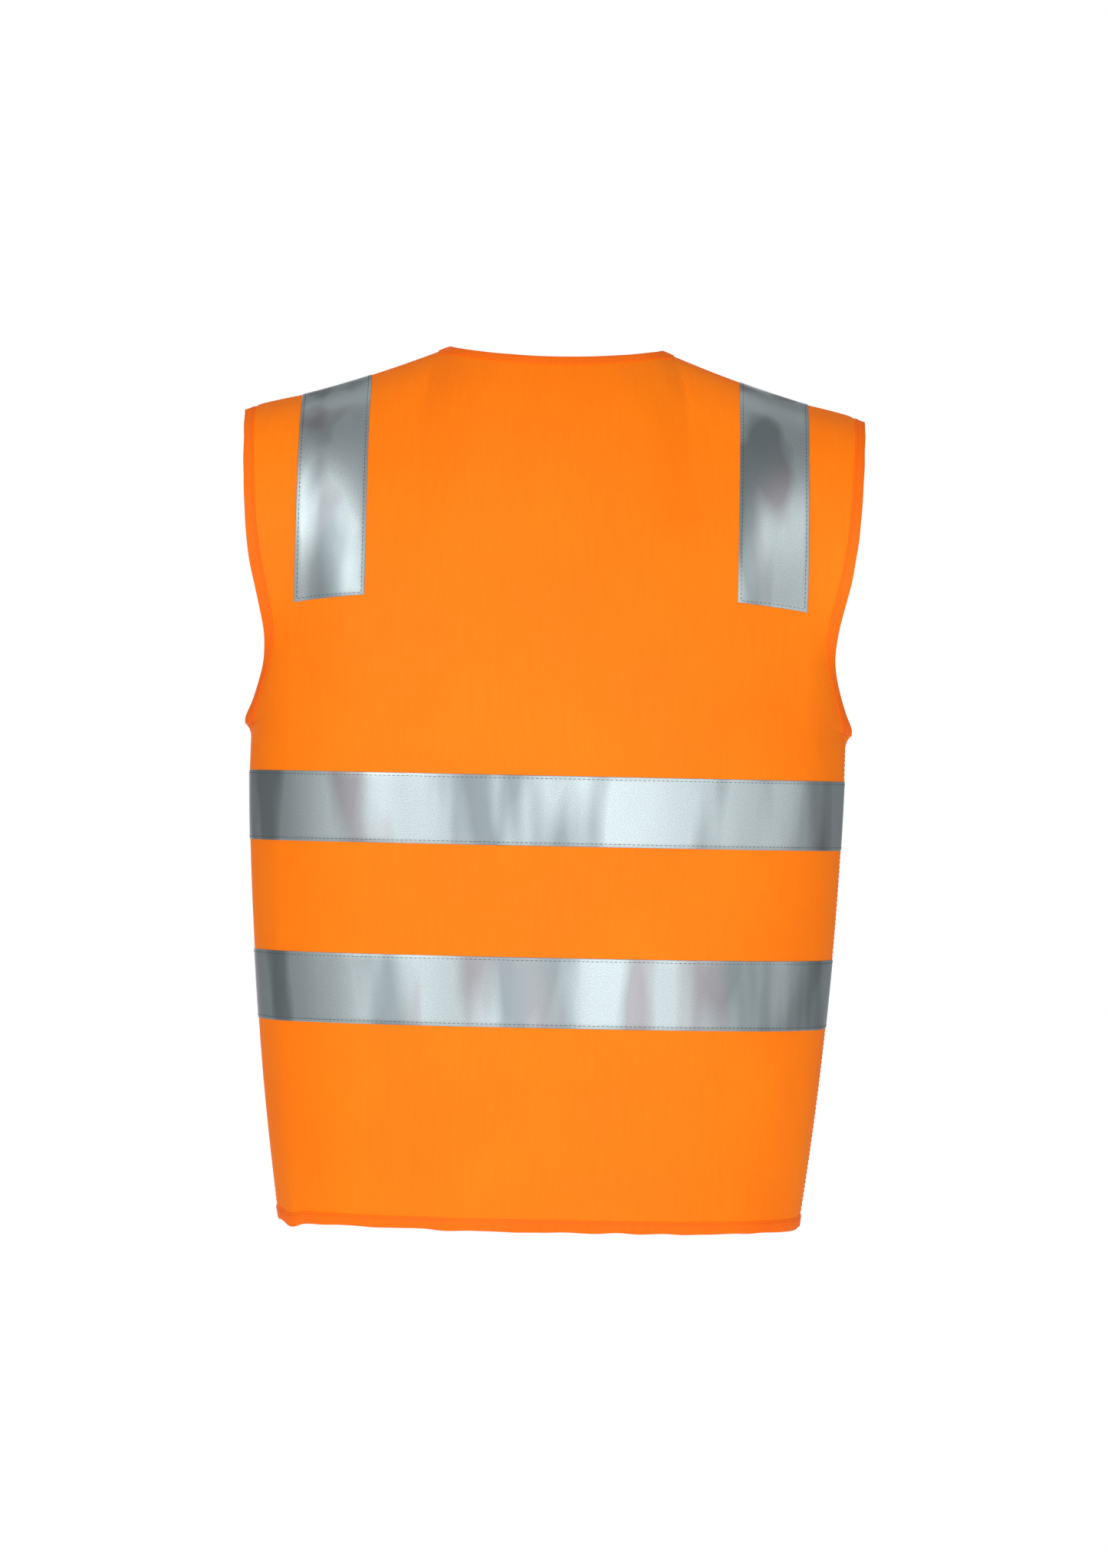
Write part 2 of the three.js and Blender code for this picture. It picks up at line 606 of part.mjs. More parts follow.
// The bridge stands on the slider and holds the pull.
function bridge() {
  const across = [SLIDER_X - SLIDER.bridgeHalfWidth, SLIDER_X + SLIDER.bridgeHalfWidth];
  const barIn = PLATE_OUT + SLIDER.bridgeGap;
  const barOut = barIn + SLIDER.bridgeBar;
  const end = SLIDER.bridgeHalfLength;
  const leg = (from, to) => boxAt(across, [PLATE_OUT - 0.2, barOut], [SLIDER_REST + from, SLIDER_REST + to]);
  return [
    leg(-end, -end + SLIDER.bridgeBar),
    leg(end - SLIDER.bridgeBar, end),
    boxAt(across, [barIn, barOut], [SLIDER_REST - end, SLIDER_REST + end]),
  ];
}

// The pull hangs from the bridge by the round bar across the top of its eye.
function pullTab() {
  const half = PULL.width / 2;
  const eye = PULL.eyeWidth / 2;
  const barRadius = PULL.thickness / 2;
  const shape = new THREE.Shape();
  shape.moveTo(-half, 0);
  shape.lineTo(-half, -PULL.length + half);
  shape.absarc(0, -PULL.length + half, half, Math.PI, 2 * Math.PI, false);
  shape.lineTo(half, 0);
  shape.closePath();
  const hole = new THREE.Path();
  hole.moveTo(-eye, 1);
  hole.lineTo(-eye, -PULL.eyeLength);
  hole.lineTo(eye, -PULL.eyeLength);
  hole.lineTo(eye, 1);
  const options = { depth: PULL.thickness, bevelEnabled: false, curveSegments: 8 };
  const blade = new THREE.ExtrudeGeometry(shape, options);
  blade.rotateX(Math.PI / 2).translate(0, PULL.thickness / 2, 0);
  const window = new THREE.BoxGeometry(PULL.eyeWidth, PULL.thickness * 3, PULL.eyeLength + 2);
  window.translate(0, 0, 1 - PULL.eyeLength / 2);
  const bar = new THREE.CylinderGeometry(barRadius, barRadius, PULL.width, 12).rotateZ(Math.PI / 2);
  const made = geometryOf(solid(blade).subtract(solid(window)).add(solid(bar)));
  return made.translate(SLIDER_X, -ZIP_PLANE - PIVOT_OUT, SLIDER_REST);
}

// ---------------------------------------------------------------------------------------------
// The pieces
// ---------------------------------------------------------------------------------------------
const look = (color, roughness, metalness = 0) =>
  new THREE.MeshStandardMaterial({ color, roughness, metalness });
const ORANGE_CLOTH = look(0xff7a0a, 0.85);
const ORANGE_BINDING = look(0xff6c05, 0.8);
const REFLECTIVE = look(0xaab8bc, 0.45, 0.3);
const ZIP_TAPE = look(0xf06a0c, 0.85);
const ZIP_PLASTIC = look(0xf2690a, 0.4);
const ZIP_METAL = look(0xb9bcc0, 0.35, 0.9);
const LABEL = look(0xf4f3ef, 0.8);

const garment = new THREE.Group();
function add(name, geometry, material) {
  const mesh = new THREE.Mesh(geometry, material);
  mesh.name = name;
  garment.add(mesh);
}

const allColumns = (face) => columns(face, COL.centre, COL.edge);
const ALL_ROWS = rows(ROW.hem, ROW.edge);
const SIDES = { left: 1, right: -1 };

function addPanels() {
  const panel = (face, list) => layer(face, list, ALL_ROWS, 0, FABRIC);
  add("back_panel", panel(FACES.back, bothSides(allColumns(FACES.back))), ORANGE_CLOTH);
  for (const [name, side] of Object.entries(SIDES))
    add(`${name}_front_panel`, panel(FACES.front, oneSide(side, allColumns(FACES.front))), ORANGE_CLOTH);
}

function addHoopTapes() {
  for (const [name, row] of [["lower", ROW.lowerTape], ["upper", ROW.upperTape]]) {
    const rowList = rows(row, row + 1);
    const tape = (face, list) => layer(face, list, rowList, OVER, OVER + TAPE);
    add(`${name}_back_tape`, tape(FACES.back, bothSides(allColumns(FACES.back))), REFLECTIVE);
    for (const [which, side] of Object.entries(SIDES)) {
      const columns = oneSide(side, allColumns(FACES.front));
      add(`${which}_${name}_front_tape`, tape(FACES.front, columns), REFLECTIVE);
    }
  }
}

function addShoulderTapes() {
  const rowList = rows(ROW.strapEnd, ROW.edge);
  for (const [name, side] of Object.entries(SIDES))
    for (const [which, face] of Object.entries(FACES)) {
      const list = oneSide(side, columns(face, COL.strapIn, COL.strapOut));
      add(`${name}_shoulder_tape_${which}`, layer(face, list, rowList, OVER, OVER + TAPE), REFLECTIVE);
    }
}

function addBindings() {
  const armholeRows = rows(ROW.underarm, ROW.edge);
  const { back, front } = FACES;
  const neckColumns = columns(back, COL.centre, COL.neck);
  add("back_neck_binding", binding(back, bothSides(neckColumns), neckEdge, neckInside), ORANGE_BINDING);
  add("back_hem_binding", binding(back, bothSides(allColumns(back)), hemEdge, hemInside), ORANGE_BINDING);
  for (const [name, side] of Object.entries(SIDES)) {
    const hem = oneSide(side, allColumns(front));
    const upward = oneSide(side, armholeRows);
    add(`${name}_front_neck_binding`, binding(front, upward, vNeckEdge, vNeckInside), ORANGE_BINDING);
    add(`${name}_front_hem_binding`, binding(front, hem, hemEdge, hemInside), ORANGE_BINDING);
    add(`${name}_armhole_binding_back`, binding(back, upward, armholeEdge, armholeInside), ORANGE_BINDING);
    add(`${name}_armhole_binding_front`, binding(front, upward, armholeEdge, armholeInside), ORANGE_BINDING);
  }
}

// The labels hang inside the back: one from the neck binding, one from the left side seam.
function addLabels() {
  const label = (list, rowList, lift) => layer(FACES.back, list, rowList, lift - LABEL_THICKNESS, lift);
  const neckRows = [ROW.binding - FIFTHS[0], ROW.binding, ROW.binding + 0.6];
  add("size_label", label(bothSides([0, LABEL_COLUMN]), neckRows, UNDER - BINDING - LAY), LABEL);
  const sideColumns = oneSide(1, [COL.binding - QUARTERS[0], COL.binding, COL.edge]);
  const sideRows = THIRDS.slice(0, 2).map((share) => ROW.hemBinding + share);
  add("care_label", label(sideColumns, sideRows, UNDER), LABEL);
}

function addZip() {
  for (const [name, side] of Object.entries(SIDES)) {
    add(`${name}_zip_tape`, zipTape(side), ZIP_TAPE);
    add(`${name}_zip_teeth`, teeth(side), ZIP_PLASTIC);
    add(`${name}_top_stop`, topStop(side), ZIP_PLASTIC);
  }
  add("insertion_pin", pin(1), ZIP_PLASTIC);
  add("retainer_pin", pin(-1), ZIP_PLASTIC);
  add("retainer_box", retainerBox(), ZIP_PLASTIC);
  add("slider_body", sliderBody(), ZIP_METAL);
  add("pull_tab", pullTab(), ZIP_METAL);
}

addPanels();
addHoopTapes();
addShoulderTapes();
addBindings();
addLabels();
addZip();

export default garment;
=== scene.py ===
"""A high visibility vest: its cloth, tape, bindings, stitching and zip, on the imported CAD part.

The cloth is built on the same surface as the CAD part, from its driving dimensions, in mm. A place
on it has a column c, from the centre line to the armhole and side seam, and a row r, from the hem
to the neck and shoulder seam, as in part.mjs.
"""

import math

import bmesh
import bpy
import numpy as np
from mathutils import Euler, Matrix, Quaternion, Vector, noise

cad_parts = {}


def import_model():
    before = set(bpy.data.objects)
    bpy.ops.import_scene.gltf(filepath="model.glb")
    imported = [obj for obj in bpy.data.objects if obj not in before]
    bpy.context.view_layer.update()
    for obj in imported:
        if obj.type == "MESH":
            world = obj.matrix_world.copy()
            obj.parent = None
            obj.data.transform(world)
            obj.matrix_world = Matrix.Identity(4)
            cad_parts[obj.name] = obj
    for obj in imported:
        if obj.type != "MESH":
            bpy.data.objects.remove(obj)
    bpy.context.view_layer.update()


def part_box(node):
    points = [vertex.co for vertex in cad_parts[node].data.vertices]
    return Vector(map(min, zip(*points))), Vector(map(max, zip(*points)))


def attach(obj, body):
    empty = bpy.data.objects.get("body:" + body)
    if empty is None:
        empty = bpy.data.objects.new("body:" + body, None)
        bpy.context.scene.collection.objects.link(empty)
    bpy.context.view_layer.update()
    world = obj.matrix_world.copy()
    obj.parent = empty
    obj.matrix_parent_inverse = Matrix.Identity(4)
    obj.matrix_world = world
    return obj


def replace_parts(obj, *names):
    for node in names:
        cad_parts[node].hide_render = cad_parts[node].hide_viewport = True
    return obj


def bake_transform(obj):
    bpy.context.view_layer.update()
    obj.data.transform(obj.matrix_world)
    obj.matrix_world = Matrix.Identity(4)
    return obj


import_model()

MM = 0.001

# ----------------------------------------
# Driving dimensions, mm, as in part.mjs
# ----------------------------------------
UNDERARM_Z = -275.0
CHEST_HALF_WIDTH = 215.0
HEM_HALF_WIDTH = 188.0
SHOULDER_HALF_WIDTH = 224.0
SHOULDER_DROP = 47.0
NECK_HALF_WIDTH = 77.0
BACK_NECK_DEPTH = 58.0
BACK_NECK_DROP = 9.0
V_DROP = 240.0
ARMHOLE_BULGE = 72.0
ARMHOLE_SCOOP = 13.0
CENTRE_FLAT = 21.0
ROUNDNESS = 2.3
STRAP_INSET = 133.5
TAPE_WIDTH = 50.0
STRAP_LENGTH = 186.0
BINDING_WIDTH = 10.0
FRONT_EDGE = 9.0
HEM_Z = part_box("back_panel")[0].z / MM
LOWER_TAPE_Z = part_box("lower_back_tape")[0].z / MM
UPPER_TAPE_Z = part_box("upper_back_tape")[0].z / MM
STRAP_OUTSET = STRAP_INSET + TAPE_WIDTH
SEAM_HALF = 0.03  # half the gap between the back and a front at a seam
BARREL = 6.0  # how far the cloth of the side bows out between the underarm and the hem

FABRIC = 0.8  # thicknesses of cloth, tape and binding
TAPE = 0.4
BINDING = 0.55
LAY = 0.12  # clearance between layers that are sewn together

RIDGE_SLOPE = -0.12
NECK_SLOPE = -0.8
SHOULDER_REACH = 76.0
NECK_REACH = 52.0
NECK_POINT_REACH = 40.0
CHEST_REACH = 120.0
NECK_FAN = math.pi * 0.25

CENTRE, NECK, STRAP_IN, STRAP_OUT, ARM_BINDING, SIDE = range(6)
(HEM, HEM_BINDING, LOWER_TAPE, LOWER_TAPE_TOP, UPPER_TAPE, UPPER_TAPE_TOP, UNDERARM, STRAP_END,
 NECK_BINDING, TOP) = range(10)
ROW_Z = [
    HEM_Z,
    HEM_Z + BINDING_WIDTH,
    LOWER_TAPE_Z,
    LOWER_TAPE_Z + TAPE_WIDTH,
    UPPER_TAPE_Z,
    UPPER_TAPE_Z + TAPE_WIDTH,
]

BACK = {"sign": 1, "depth": 126.0, "centre": 0.0, "middle": NECK_HALF_WIDTH * 1.3}
FRONT = {"sign": -1, "depth": 140.0, "centre": FRONT_EDGE, "middle": FRONT_EDGE + BINDING_WIDTH}

GRID_STEP = 4.5  # size of the cloth's facets
SIDE_REACH = 110.0  # about how far it is from the shoulder tape's edge to the armhole's binding
CHEST_REST = 35.0  # about how far it is from the upper tape to the underarm
BLADE_REACH = 120.0  # and from there to the shoulder tape's end
CORNER_WIDTH = 13.0  # how far in the shoulder's outer corner starts to drop
CORNER_DROP = 4.0
KINK_X = 176.0
KINK_WIDTH = 6.0
KINK_HEIGHT = 18.0
KINK_OUT = 3.0
KINK_DROP = 4.0
FLARE = 4.2  # how far the underarm sticks out, fading over FLARE_UP above it and FLARE_DOWN below
FLARE_UP = 10.0
FLARE_DOWN = 4.0


# ----------------------------------------
# The garment surface, on the wearer's left half
# ----------------------------------------
def lerp(a, b, t):
    return a + (b - a) * t


def half_width(z, barrel=0.0):
    t = np.clip((UNDERARM_Z - z) / (UNDERARM_Z - HEM_Z), 0, 1)
    return lerp(CHEST_HALF_WIDTH, HEM_HALF_WIDTH, t) + barrel * 4 * t * (1 - t)


def section_point(face, z, angle):
    """Angle 0 is the side seam. The middle of each face is flat."""
    wide = half_width(z, BARREL) - CENTRE_FLAT
    x = CENTRE_FLAT + wide * np.cos(angle) ** (2 / ROUNDNESS)
    y = face["depth"] * np.maximum(np.sin(angle), 0) ** (2 / ROUNDNESS)
    return np.stack(np.broadcast_arrays(x, y, z), -1)


def section_angle(z, x):
    share = np.maximum(x - CENTRE_FLAT, 0) / (half_width(z, BARREL) - CENTRE_FLAT)
    return np.arccos(np.clip(share, 0, 1) ** (ROUNDNESS / 2))


def section_at(face, z, x):
    p = section_point(face, z, section_angle(z, x))
    p[..., 0] = x
    return p


def column_x(face, c):
    return np.interp(c, [0, 1, 2, 3], [face["centre"], face["middle"], STRAP_INSET, STRAP_OUTSET])


def foot_z(face, x):
    if face["sign"] > 0:
        return UNDERARM_Z
    share = np.clip((x - face["middle"]) / (STRAP_OUTSET - face["middle"]), 0, 1)
    return lerp(-V_DROP, UNDERARM_Z, share)


def shoulder_z(x):
    share = np.clip((x - NECK_HALF_WIDTH) / (SHOULDER_HALF_WIDTH - NECK_HALF_WIDTH), 0, 1)
    return -SHOULDER_DROP * share * (1.3 - 0.3 * share)


class Line:
    """A curve that can be looked up by distance along it."""

    def __init__(self, points):
        self.points = np.asarray(points, float)
        steps = np.linalg.norm(np.diff(self.points, axis=0), axis=1)
        self.along = np.concatenate([[0], np.cumsum(steps)])
        self.length = self.along[-1]

    def at(self, distance):
        return np.stack([np.interp(distance, self.along, self.points[:, k]) for k in range(3)], -1)


def fall(face, top, foot_x, turn, slope, reach):
    """The cloth's fall from a place on its top edge down to the underarm's row."""
    top = np.array(top, float)
    foot = section_at(face, np.array(foot_z(face, foot_x)), foot_x)
    aside = shoulder_z(top[0] + 1) - shoulder_z(top[0])
    leave = np.array([math.sin(turn), math.cos(turn), math.sin(turn) * aside + math.cos(turn) * slope])
    leave = top + leave / np.linalg.norm(leave) * reach
    arrive = foot + np.array([0, 0, CHEST_REACH])
    t = np.linspace(0, 1, 160)[:, None]
    u = 1 - t
    return Line(u**3 * top + 3 * u * u * t * leave + 3 * u * t * t * arrive + t**3 * foot)


def front_fall(x):
    return fall(FRONT, (x, 0, shoulder_z(x)), x, 0, RIDGE_SLOPE, SHOULDER_REACH)


def back_fall(c):
    foot_x = column_x(BACK, c)
    if c > NECK:
        x = lerp(NECK_HALF_WIDTH, STRAP_INSET, c - NECK) if c < STRAP_IN else foot_x
        share = min(c - NECK, 1)
        turn = NECK_FAN * (1 - share) ** 2
        reach = lerp(NECK_POINT_REACH, SHOULDER_REACH, share)
        return fall(BACK, (x, 0, shoulder_z(x)), foot_x, turn, RIDGE_SLOPE, reach)
    bow = math.cos(c * math.pi / 2)
    top = (NECK_HALF_WIDTH * math.sin(c * math.pi / 2), BACK_NECK_DEPTH * bow, -BACK_NECK_DROP * bow**1.5)
    slope = lerp(RIDGE_SLOPE, NECK_SLOPE, bow)
    return fall(BACK, top, foot_x, NECK_FAN * c, slope, lerp(NECK_POINT_REACH, NECK_REACH, bow))


def armhole_line():
    w = np.linspace(0, 1, 400)
    scoop = ARMHOLE_SCOOP * np.sin(np.pi * w**2.4) ** 2
    bulge = ARMHOLE_BULGE * np.abs(np.sin(np.pi * w**0.9)) ** 0.62
    bulge[-1] = 0
    x = lerp(SHOULDER_HALF_WIDTH, CHEST_HALF_WIDTH, w) - scoop
    return Line(np.stack([x, bulge, lerp(-SHOULDER_DROP, UNDERARM_Z, w)], -1))


ARMHOLE = armhole_line()
STRAP_SHARE = STRAP_LENGTH / back_fall(STRAP_OUT).length


def drop_of(line, r):
    """How far down from the top edge the rows above the underarm lie on a line."""
    strap = line.length * STRAP_SHARE
    return np.interp(r, [UNDERARM, STRAP_END, NECK_BINDING, TOP], [line.length, strap, BINDING_WIDTH, 0])


def v_neck_x(r):
    beside = front_fall(NECK_HALF_WIDTH)
    share = beside.at(drop_of(beside, r))[..., 2] / beside.points[-1, 2]
    return lerp(NECK_HALF_WIDTH, FRONT_EDGE, share)


def upper_column(face, c, r):
    if face["sign"] > 0:
        line = back_fall(c)
        return line.at(drop_of(line, r))
    if c > STRAP_IN:
        line = front_fall(column_x(face, c))
        return line.at(drop_of(line, r))
    edge = v_neck_x(r)
    inner = edge + BINDING_WIDTH * c if c <= NECK else lerp(edge + BINDING_WIDTH, STRAP_INSET, c - NECK)
    made = []
    for x, row in zip(inner, r):
        line = front_fall(x)
        made.append(line.at(drop_of(line, row)))
    return np.array(made)


def row_z(face, c, r):
    level = ROW_Z + [foot_z(face, column_x(face, min(c, STRAP_OUT)))]
    return np.interp(r, range(UNDERARM + 1), level)


def side_points(face, share, r):
    """The rows between the shoulder tape's outer edge (share 0) and the side seam (share 1)."""
    low = r <= UNDERARM
    z = np.where(low, row_z(face, STRAP_OUT, r), UNDERARM_Z)
    taper = (half_width(z) - face["centre"]) / (CHEST_HALF_WIDTH - face["centre"])
    angle = section_angle(z, face["centre"] + (STRAP_OUTSET - face["centre"]) * taper)
    on_section = section_point(face, z, angle * (1 - share))
    start = section_point(face, z, angle)
    end = section_point(face, z, 0 * angle)
    inner = np.where(low[:, None], start, upper_column(face, STRAP_OUT, r))
    outer = np.where(low[:, None], end, ARMHOLE.at(drop_of(ARMHOLE, r)))
    length = np.linalg.norm(inner - outer, axis=1) / np.linalg.norm(start - end, axis=1)
    bow = (on_section - lerp(start, end, share)) * np.where(low, 1, length**2)[:, None]
    return lerp(inner, outer, share) + bow


def binding_share(face, r):
    """The share of each row's side that the armhole binding takes up."""
    rows = np.stack([side_points(face, t, r) for t in np.linspace(0, 1, 12)])
    length = np.linalg.norm(np.diff(rows, axis=0), axis=2).sum(0)
    edge = np.gradient(rows[-1], axis=0)
    edge /= np.linalg.norm(edge, axis=1)[:, None]
    across = rows[-1] - rows[-2]
    across /= np.linalg.norm(across, axis=1)[:, None]
    square = np.maximum(np.linalg.norm(np.cross(across, edge), axis=1), 0.5)
    square = np.where(r <= UNDERARM, 1, square)
    return np.minimum(BINDING_WIDTH / square / length, 0.6)


def column_points(face, c, r, arm):
    if c > STRAP_OUT:
        share = (1 - arm) * (c - STRAP_OUT) if c <= ARM_BINDING else lerp(1 - arm, 1, c - ARM_BINDING)
        return side_column(face, share, r)
    low = r <= UNDERARM
    z = row_z(face, c, r)
    taper = (half_width(z) - face["centre"]) / (CHEST_HALF_WIDTH - face["centre"])
    x = face["centre"] + (column_x(face, c) - face["centre"]) * taper
    lower = section_at(face, z, x)
    upper = upper_column(face, c, np.maximum(r, UNDERARM))
    return np.where(low[:, None], lower, upper)


def side_column(face, share, r):
    made = np.empty((len(r), 3))
    for k, s in enumerate(share):
        made[k] = side_points(face, s, r[k : k + 1])[0]
    return made


# ----------------------------------------
# The cloth: a fine grid on that surface, eased and ruffled, that every soft piece is laid on
# ----------------------------------------
def stops(lengths):
    """Column or row numbers that cut stretches of those lengths into steps of GRID_STEP."""
    made = [0.0]
    for i, length in enumerate(lengths):
        n = max(1, round(length / GRID_STEP))
        made += [i + k / n for k in range(1, n + 1)]
    return np.array(made)


def eased(points, amount, passes=24):
    """Takes out the creases where stretches of columns meet, keeping both ends in place."""
    p = points.copy()
    for _ in range(passes):
        left = np.linalg.norm(p[:, 1:-1] - p[:, :-2], axis=2)[..., None]
        right = np.linalg.norm(p[:, 2:] - p[:, 1:-1], axis=2)[..., None]
        flat = (p[:, :-2] * right + p[:, 2:] * left) / (left + right)
        p[:, 1:-1] += (flat - p[:, 1:-1]) * 0.5 * amount[:, 1:-1, None]
    return p


def smoothed(points, amount, sign, passes=40):
    """Evens out the surface where amount is above 0, moving it only in or out."""
    p = points.copy()
    n = grid_normals(p, sign)[1:-1, 1:-1]
    for _ in range(passes):
        around = (p[1:-1, :-2] + p[1:-1, 2:] + p[:-2, 1:-1] + p[2:, 1:-1]) / 4
        out = ((around - p[1:-1, 1:-1]) * n).sum(2)[..., None]
        p[1:-1, 1:-1] += n * out * 0.5 * amount[1:-1, 1:-1, None]
    return p


def rounded_corner(p, r):
    """Lowers the outer corner of the shoulder a little, as its folded binding does."""
    near_edge = np.clip((np.abs(p[..., 0]) - SHOULDER_HALF_WIDTH) / CORNER_WIDTH + 1, 0, 1)
    near_top = np.clip((r - NECK_BINDING + 0.6) / 1.6, 0, 1)[:, None]
    made = p.copy()
    made[..., 2] -= CORNER_DROP * near_edge**2 * near_top**2
    return made


def closed_shoulder(p, c, r, face):
    """Brings the top row onto the shoulder seam."""
    over = p[-1, :, 1] - face["sign"] * SEAM_HALF
    if face is BACK:
        over = np.where(np.abs(c) < NECK, 0, over)
    near_top = np.clip(r - NECK_BINDING, 0, 1)[:, None]
    made = p.copy()
    made[..., 1] -= over[None, :] * near_top
    return made


def underarm_flare(p, c):
    """Where the ends of the armhole binding overlap at the underarm, the cloth sticks out."""
    above = p[..., 2] - UNDERARM_Z
    reach = np.where(above > 0, FLARE_UP, FLARE_DOWN)
    near_edge = np.clip(np.abs(c) - ARM_BINDING, 0, 1)[None, :]
    made = p.copy()
    made[..., 0] += np.sign(p[..., 0]) * FLARE * np.exp(-((above / reach) ** 2)) * near_edge**1.5
    return made


def hem_kink(p, face):
    """The small fold the hem holds near one end of the back."""
    if face is not BACK:
        return p
    made = p.copy()
    beside = (p[..., 0] - KINK_X) / KINK_WIDTH
    near = np.exp(-(beside**2)) * np.exp(-(p[..., 2] - HEM_Z) / KINK_HEIGHT)
    made[..., 1] += KINK_OUT * near
    made[..., 2] -= KINK_DROP * near
    return made


def grid_normals(p, sign):
    across = np.gradient(p, axis=1)
    up = np.gradient(p, axis=0)
    n = np.cross(up, across) * sign
    return n / np.linalg.norm(n, axis=2)[..., None]


class Cloth:
    """One face of the garment, or half of it, as a grid of places and normals."""

    def __init__(self, face, side, columns, rows, points):
        self.face, self.side = face, side
        self.c, self.r, self.p = columns, rows, points
        self.n = grid_normals(points, face["sign"] * side)
        seam = np.abs(points[..., 1]) < 2 * SEAM_HALF  # both sides of a seam rise in its own plane
        self.n[seam, 1] = 0
        self.n /= np.linalg.norm(self.n, axis=2)[..., None]

    def at(self, c, r, lift=0.0):
        """Places at those columns and rows, lifted off the inside of the cloth."""
        c, r, lift = np.broadcast_arrays(np.asarray(c, float), np.asarray(r, float), lift)
        i = np.clip(np.searchsorted(self.r, r, "right") - 1, 0, len(self.r) - 2)
        j = np.clip(np.searchsorted(self.c, c, "right") - 1, 0, len(self.c) - 2)
        s = ((r - self.r[i]) / (self.r[i + 1] - self.r[i]))[..., None]
        t = ((c - self.c[j]) / (self.c[j + 1] - self.c[j]))[..., None]

        def blended(a):
            return lerp(lerp(a[i, j], a[i, j + 1], t), lerp(a[i + 1, j], a[i + 1, j + 1], t), s)

        normal = blended(self.n)
        normal /= np.linalg.norm(normal, axis=-1)[..., None]
        return blended(self.p) + normal * lift[..., None]


def ripple(p, c, r, seed):
    """How far the cloth stands off its smooth shape: long soft folds, and a rumpled hem."""
    made = np.zeros(p.shape[:2])
    rise = np.clip((r - HEM) / 3.0, 0, 1)
    for i in range(p.shape[0]):
        for j in range(p.shape[1]):
            x, y, z = p[i, j]
            folds = noise.noise(Vector((x * 0.014, y * 0.014 + seed, z * 0.0022)))
            fine = noise.noise(Vector((x * 0.035 + seed, y * 0.035, z * 0.007)))
            hem = noise.noise(Vector((x * 0.022 + seed, y * 0.022, z * 0.004 + 7)))
            made[i, j] = 2.2 * folds + 0.8 * fine + 2.5 * hem * (1 - rise[i]) ** 2
    return made


def held(c, r, front):
    """1 where the cloth can ripple, falling to 0 at the seams and the zip."""
    edge = np.clip(SIDE - np.abs(c), 0, 1)[None, :]
    top = np.clip((TOP - r) / 1.5, 0, 1)[:, None]
    made = edge * top
    if front:
        made = made * np.clip((np.abs(c) - NECK) / 0.6, 0, 1)[None, :]
    return made * made * (3 - 2 * made)


def face_columns(face):
    middle = face["middle"]
    return stops([middle, STRAP_INSET - middle, TAPE_WIDTH, SIDE_REACH, BINDING_WIDTH])


def face_rows():
    below = LOWER_TAPE_Z - HEM_Z - BINDING_WIDTH
    between = UPPER_TAPE_Z - LOWER_TAPE_Z - TAPE_WIDTH
    lower = [BINDING_WIDTH, below, TAPE_WIDTH, between, TAPE_WIDTH]
    return stops(lower + [CHEST_REST, BLADE_REACH, STRAP_LENGTH, BINDING_WIDTH])


def make_face(face, seed):
    """The back's cloth, or the left and the right front's."""
    c, r = face_columns(face), face_rows()
    arm = binding_share(face, r)
    points = np.stack([column_points(face, k, r, arm) for k in c], 1)
    points[..., 1] = face["sign"] * (points[..., 1] + SEAM_HALF)
    upper = np.clip(r - UPPER_TAPE_TOP, 0, 1) * np.clip((TOP - r) / 0.6, 0, 1)
    if face is BACK:
        mirrored = points[:, :0:-1] * np.array([-1, 1, 1])
        points = np.concatenate([mirrored, points], 1)
        c = np.concatenate([-c[:0:-1], c])
        cloths = [(1, c, points)]
    else:
        cloths = [(1, c, points), (-1, c, points * np.array([-1, 1, 1]))]
    made = []
    for k, (side, columns, p) in enumerate(cloths):
        amount = upper[:, None] * np.clip((SIDE - np.abs(columns)) / 1.5, 0, 1)[None, :]
        p = eased(p, upper[:, None] * np.ones((1, len(columns))))
        p = smoothed(p, amount, face["sign"] * side)
        p = closed_shoulder(rounded_corner(p, r), columns, r, face)
        p = hem_kink(underarm_flare(p, columns), face)
        cloth = Cloth(face, side, columns, r, p)
        lift = ripple(p, columns, r, seed + 9.3 * k) * held(columns, r, face is FRONT)
        made.append(Cloth(face, side, columns, r, p + cloth.n * lift[..., None]))
    return made


BACK_CLOTH = make_face(BACK, 3.1)[0]
FRONT_CLOTHS = dict(zip(("left", "right"), make_face(FRONT, 5.7)))
SIDES = {"left": 1, "right": -1}


# ----------------------------------------
# Meshes
# ----------------------------------------
EDGE_SHARE = 0.08  # a sheet's narrow edge step, as a share of the step it is cut from


def new_object(name, vertices, faces, uvs=None, smooth=True):
    """vertices are in mm, and uvs has one (u, v) per vertex, in mm of cloth."""
    mesh = bpy.data.meshes.new(name)
    mesh.from_pydata((np.asarray(vertices) * MM).tolist(), [], faces)
    if uvs is not None:
        layer = mesh.uv_layers.new(name="cloth")
        index = np.empty(len(mesh.loops), int)
        mesh.loops.foreach_get("vertex_index", index)
        layer.data.foreach_set("uv", (np.asarray(uvs) * MM)[index].astype(np.float32).ravel())
    mesh.polygons.foreach_set("use_smooth", [smooth] * len(mesh.polygons))
    mesh.update()
    made = bpy.data.objects.new(name, mesh)
    bpy.context.scene.collection.objects.link(made)
    return made


def grid_faces(rows, columns, start=0, flip=False):
    made = []
    for i in range(rows - 1):
        for j in range(columns - 1):
            a = start + i * columns + j
            quad = (a, a + 1, a + columns + 1, a + columns)
            made.append(quad[::-1] if flip else quad)
    return made


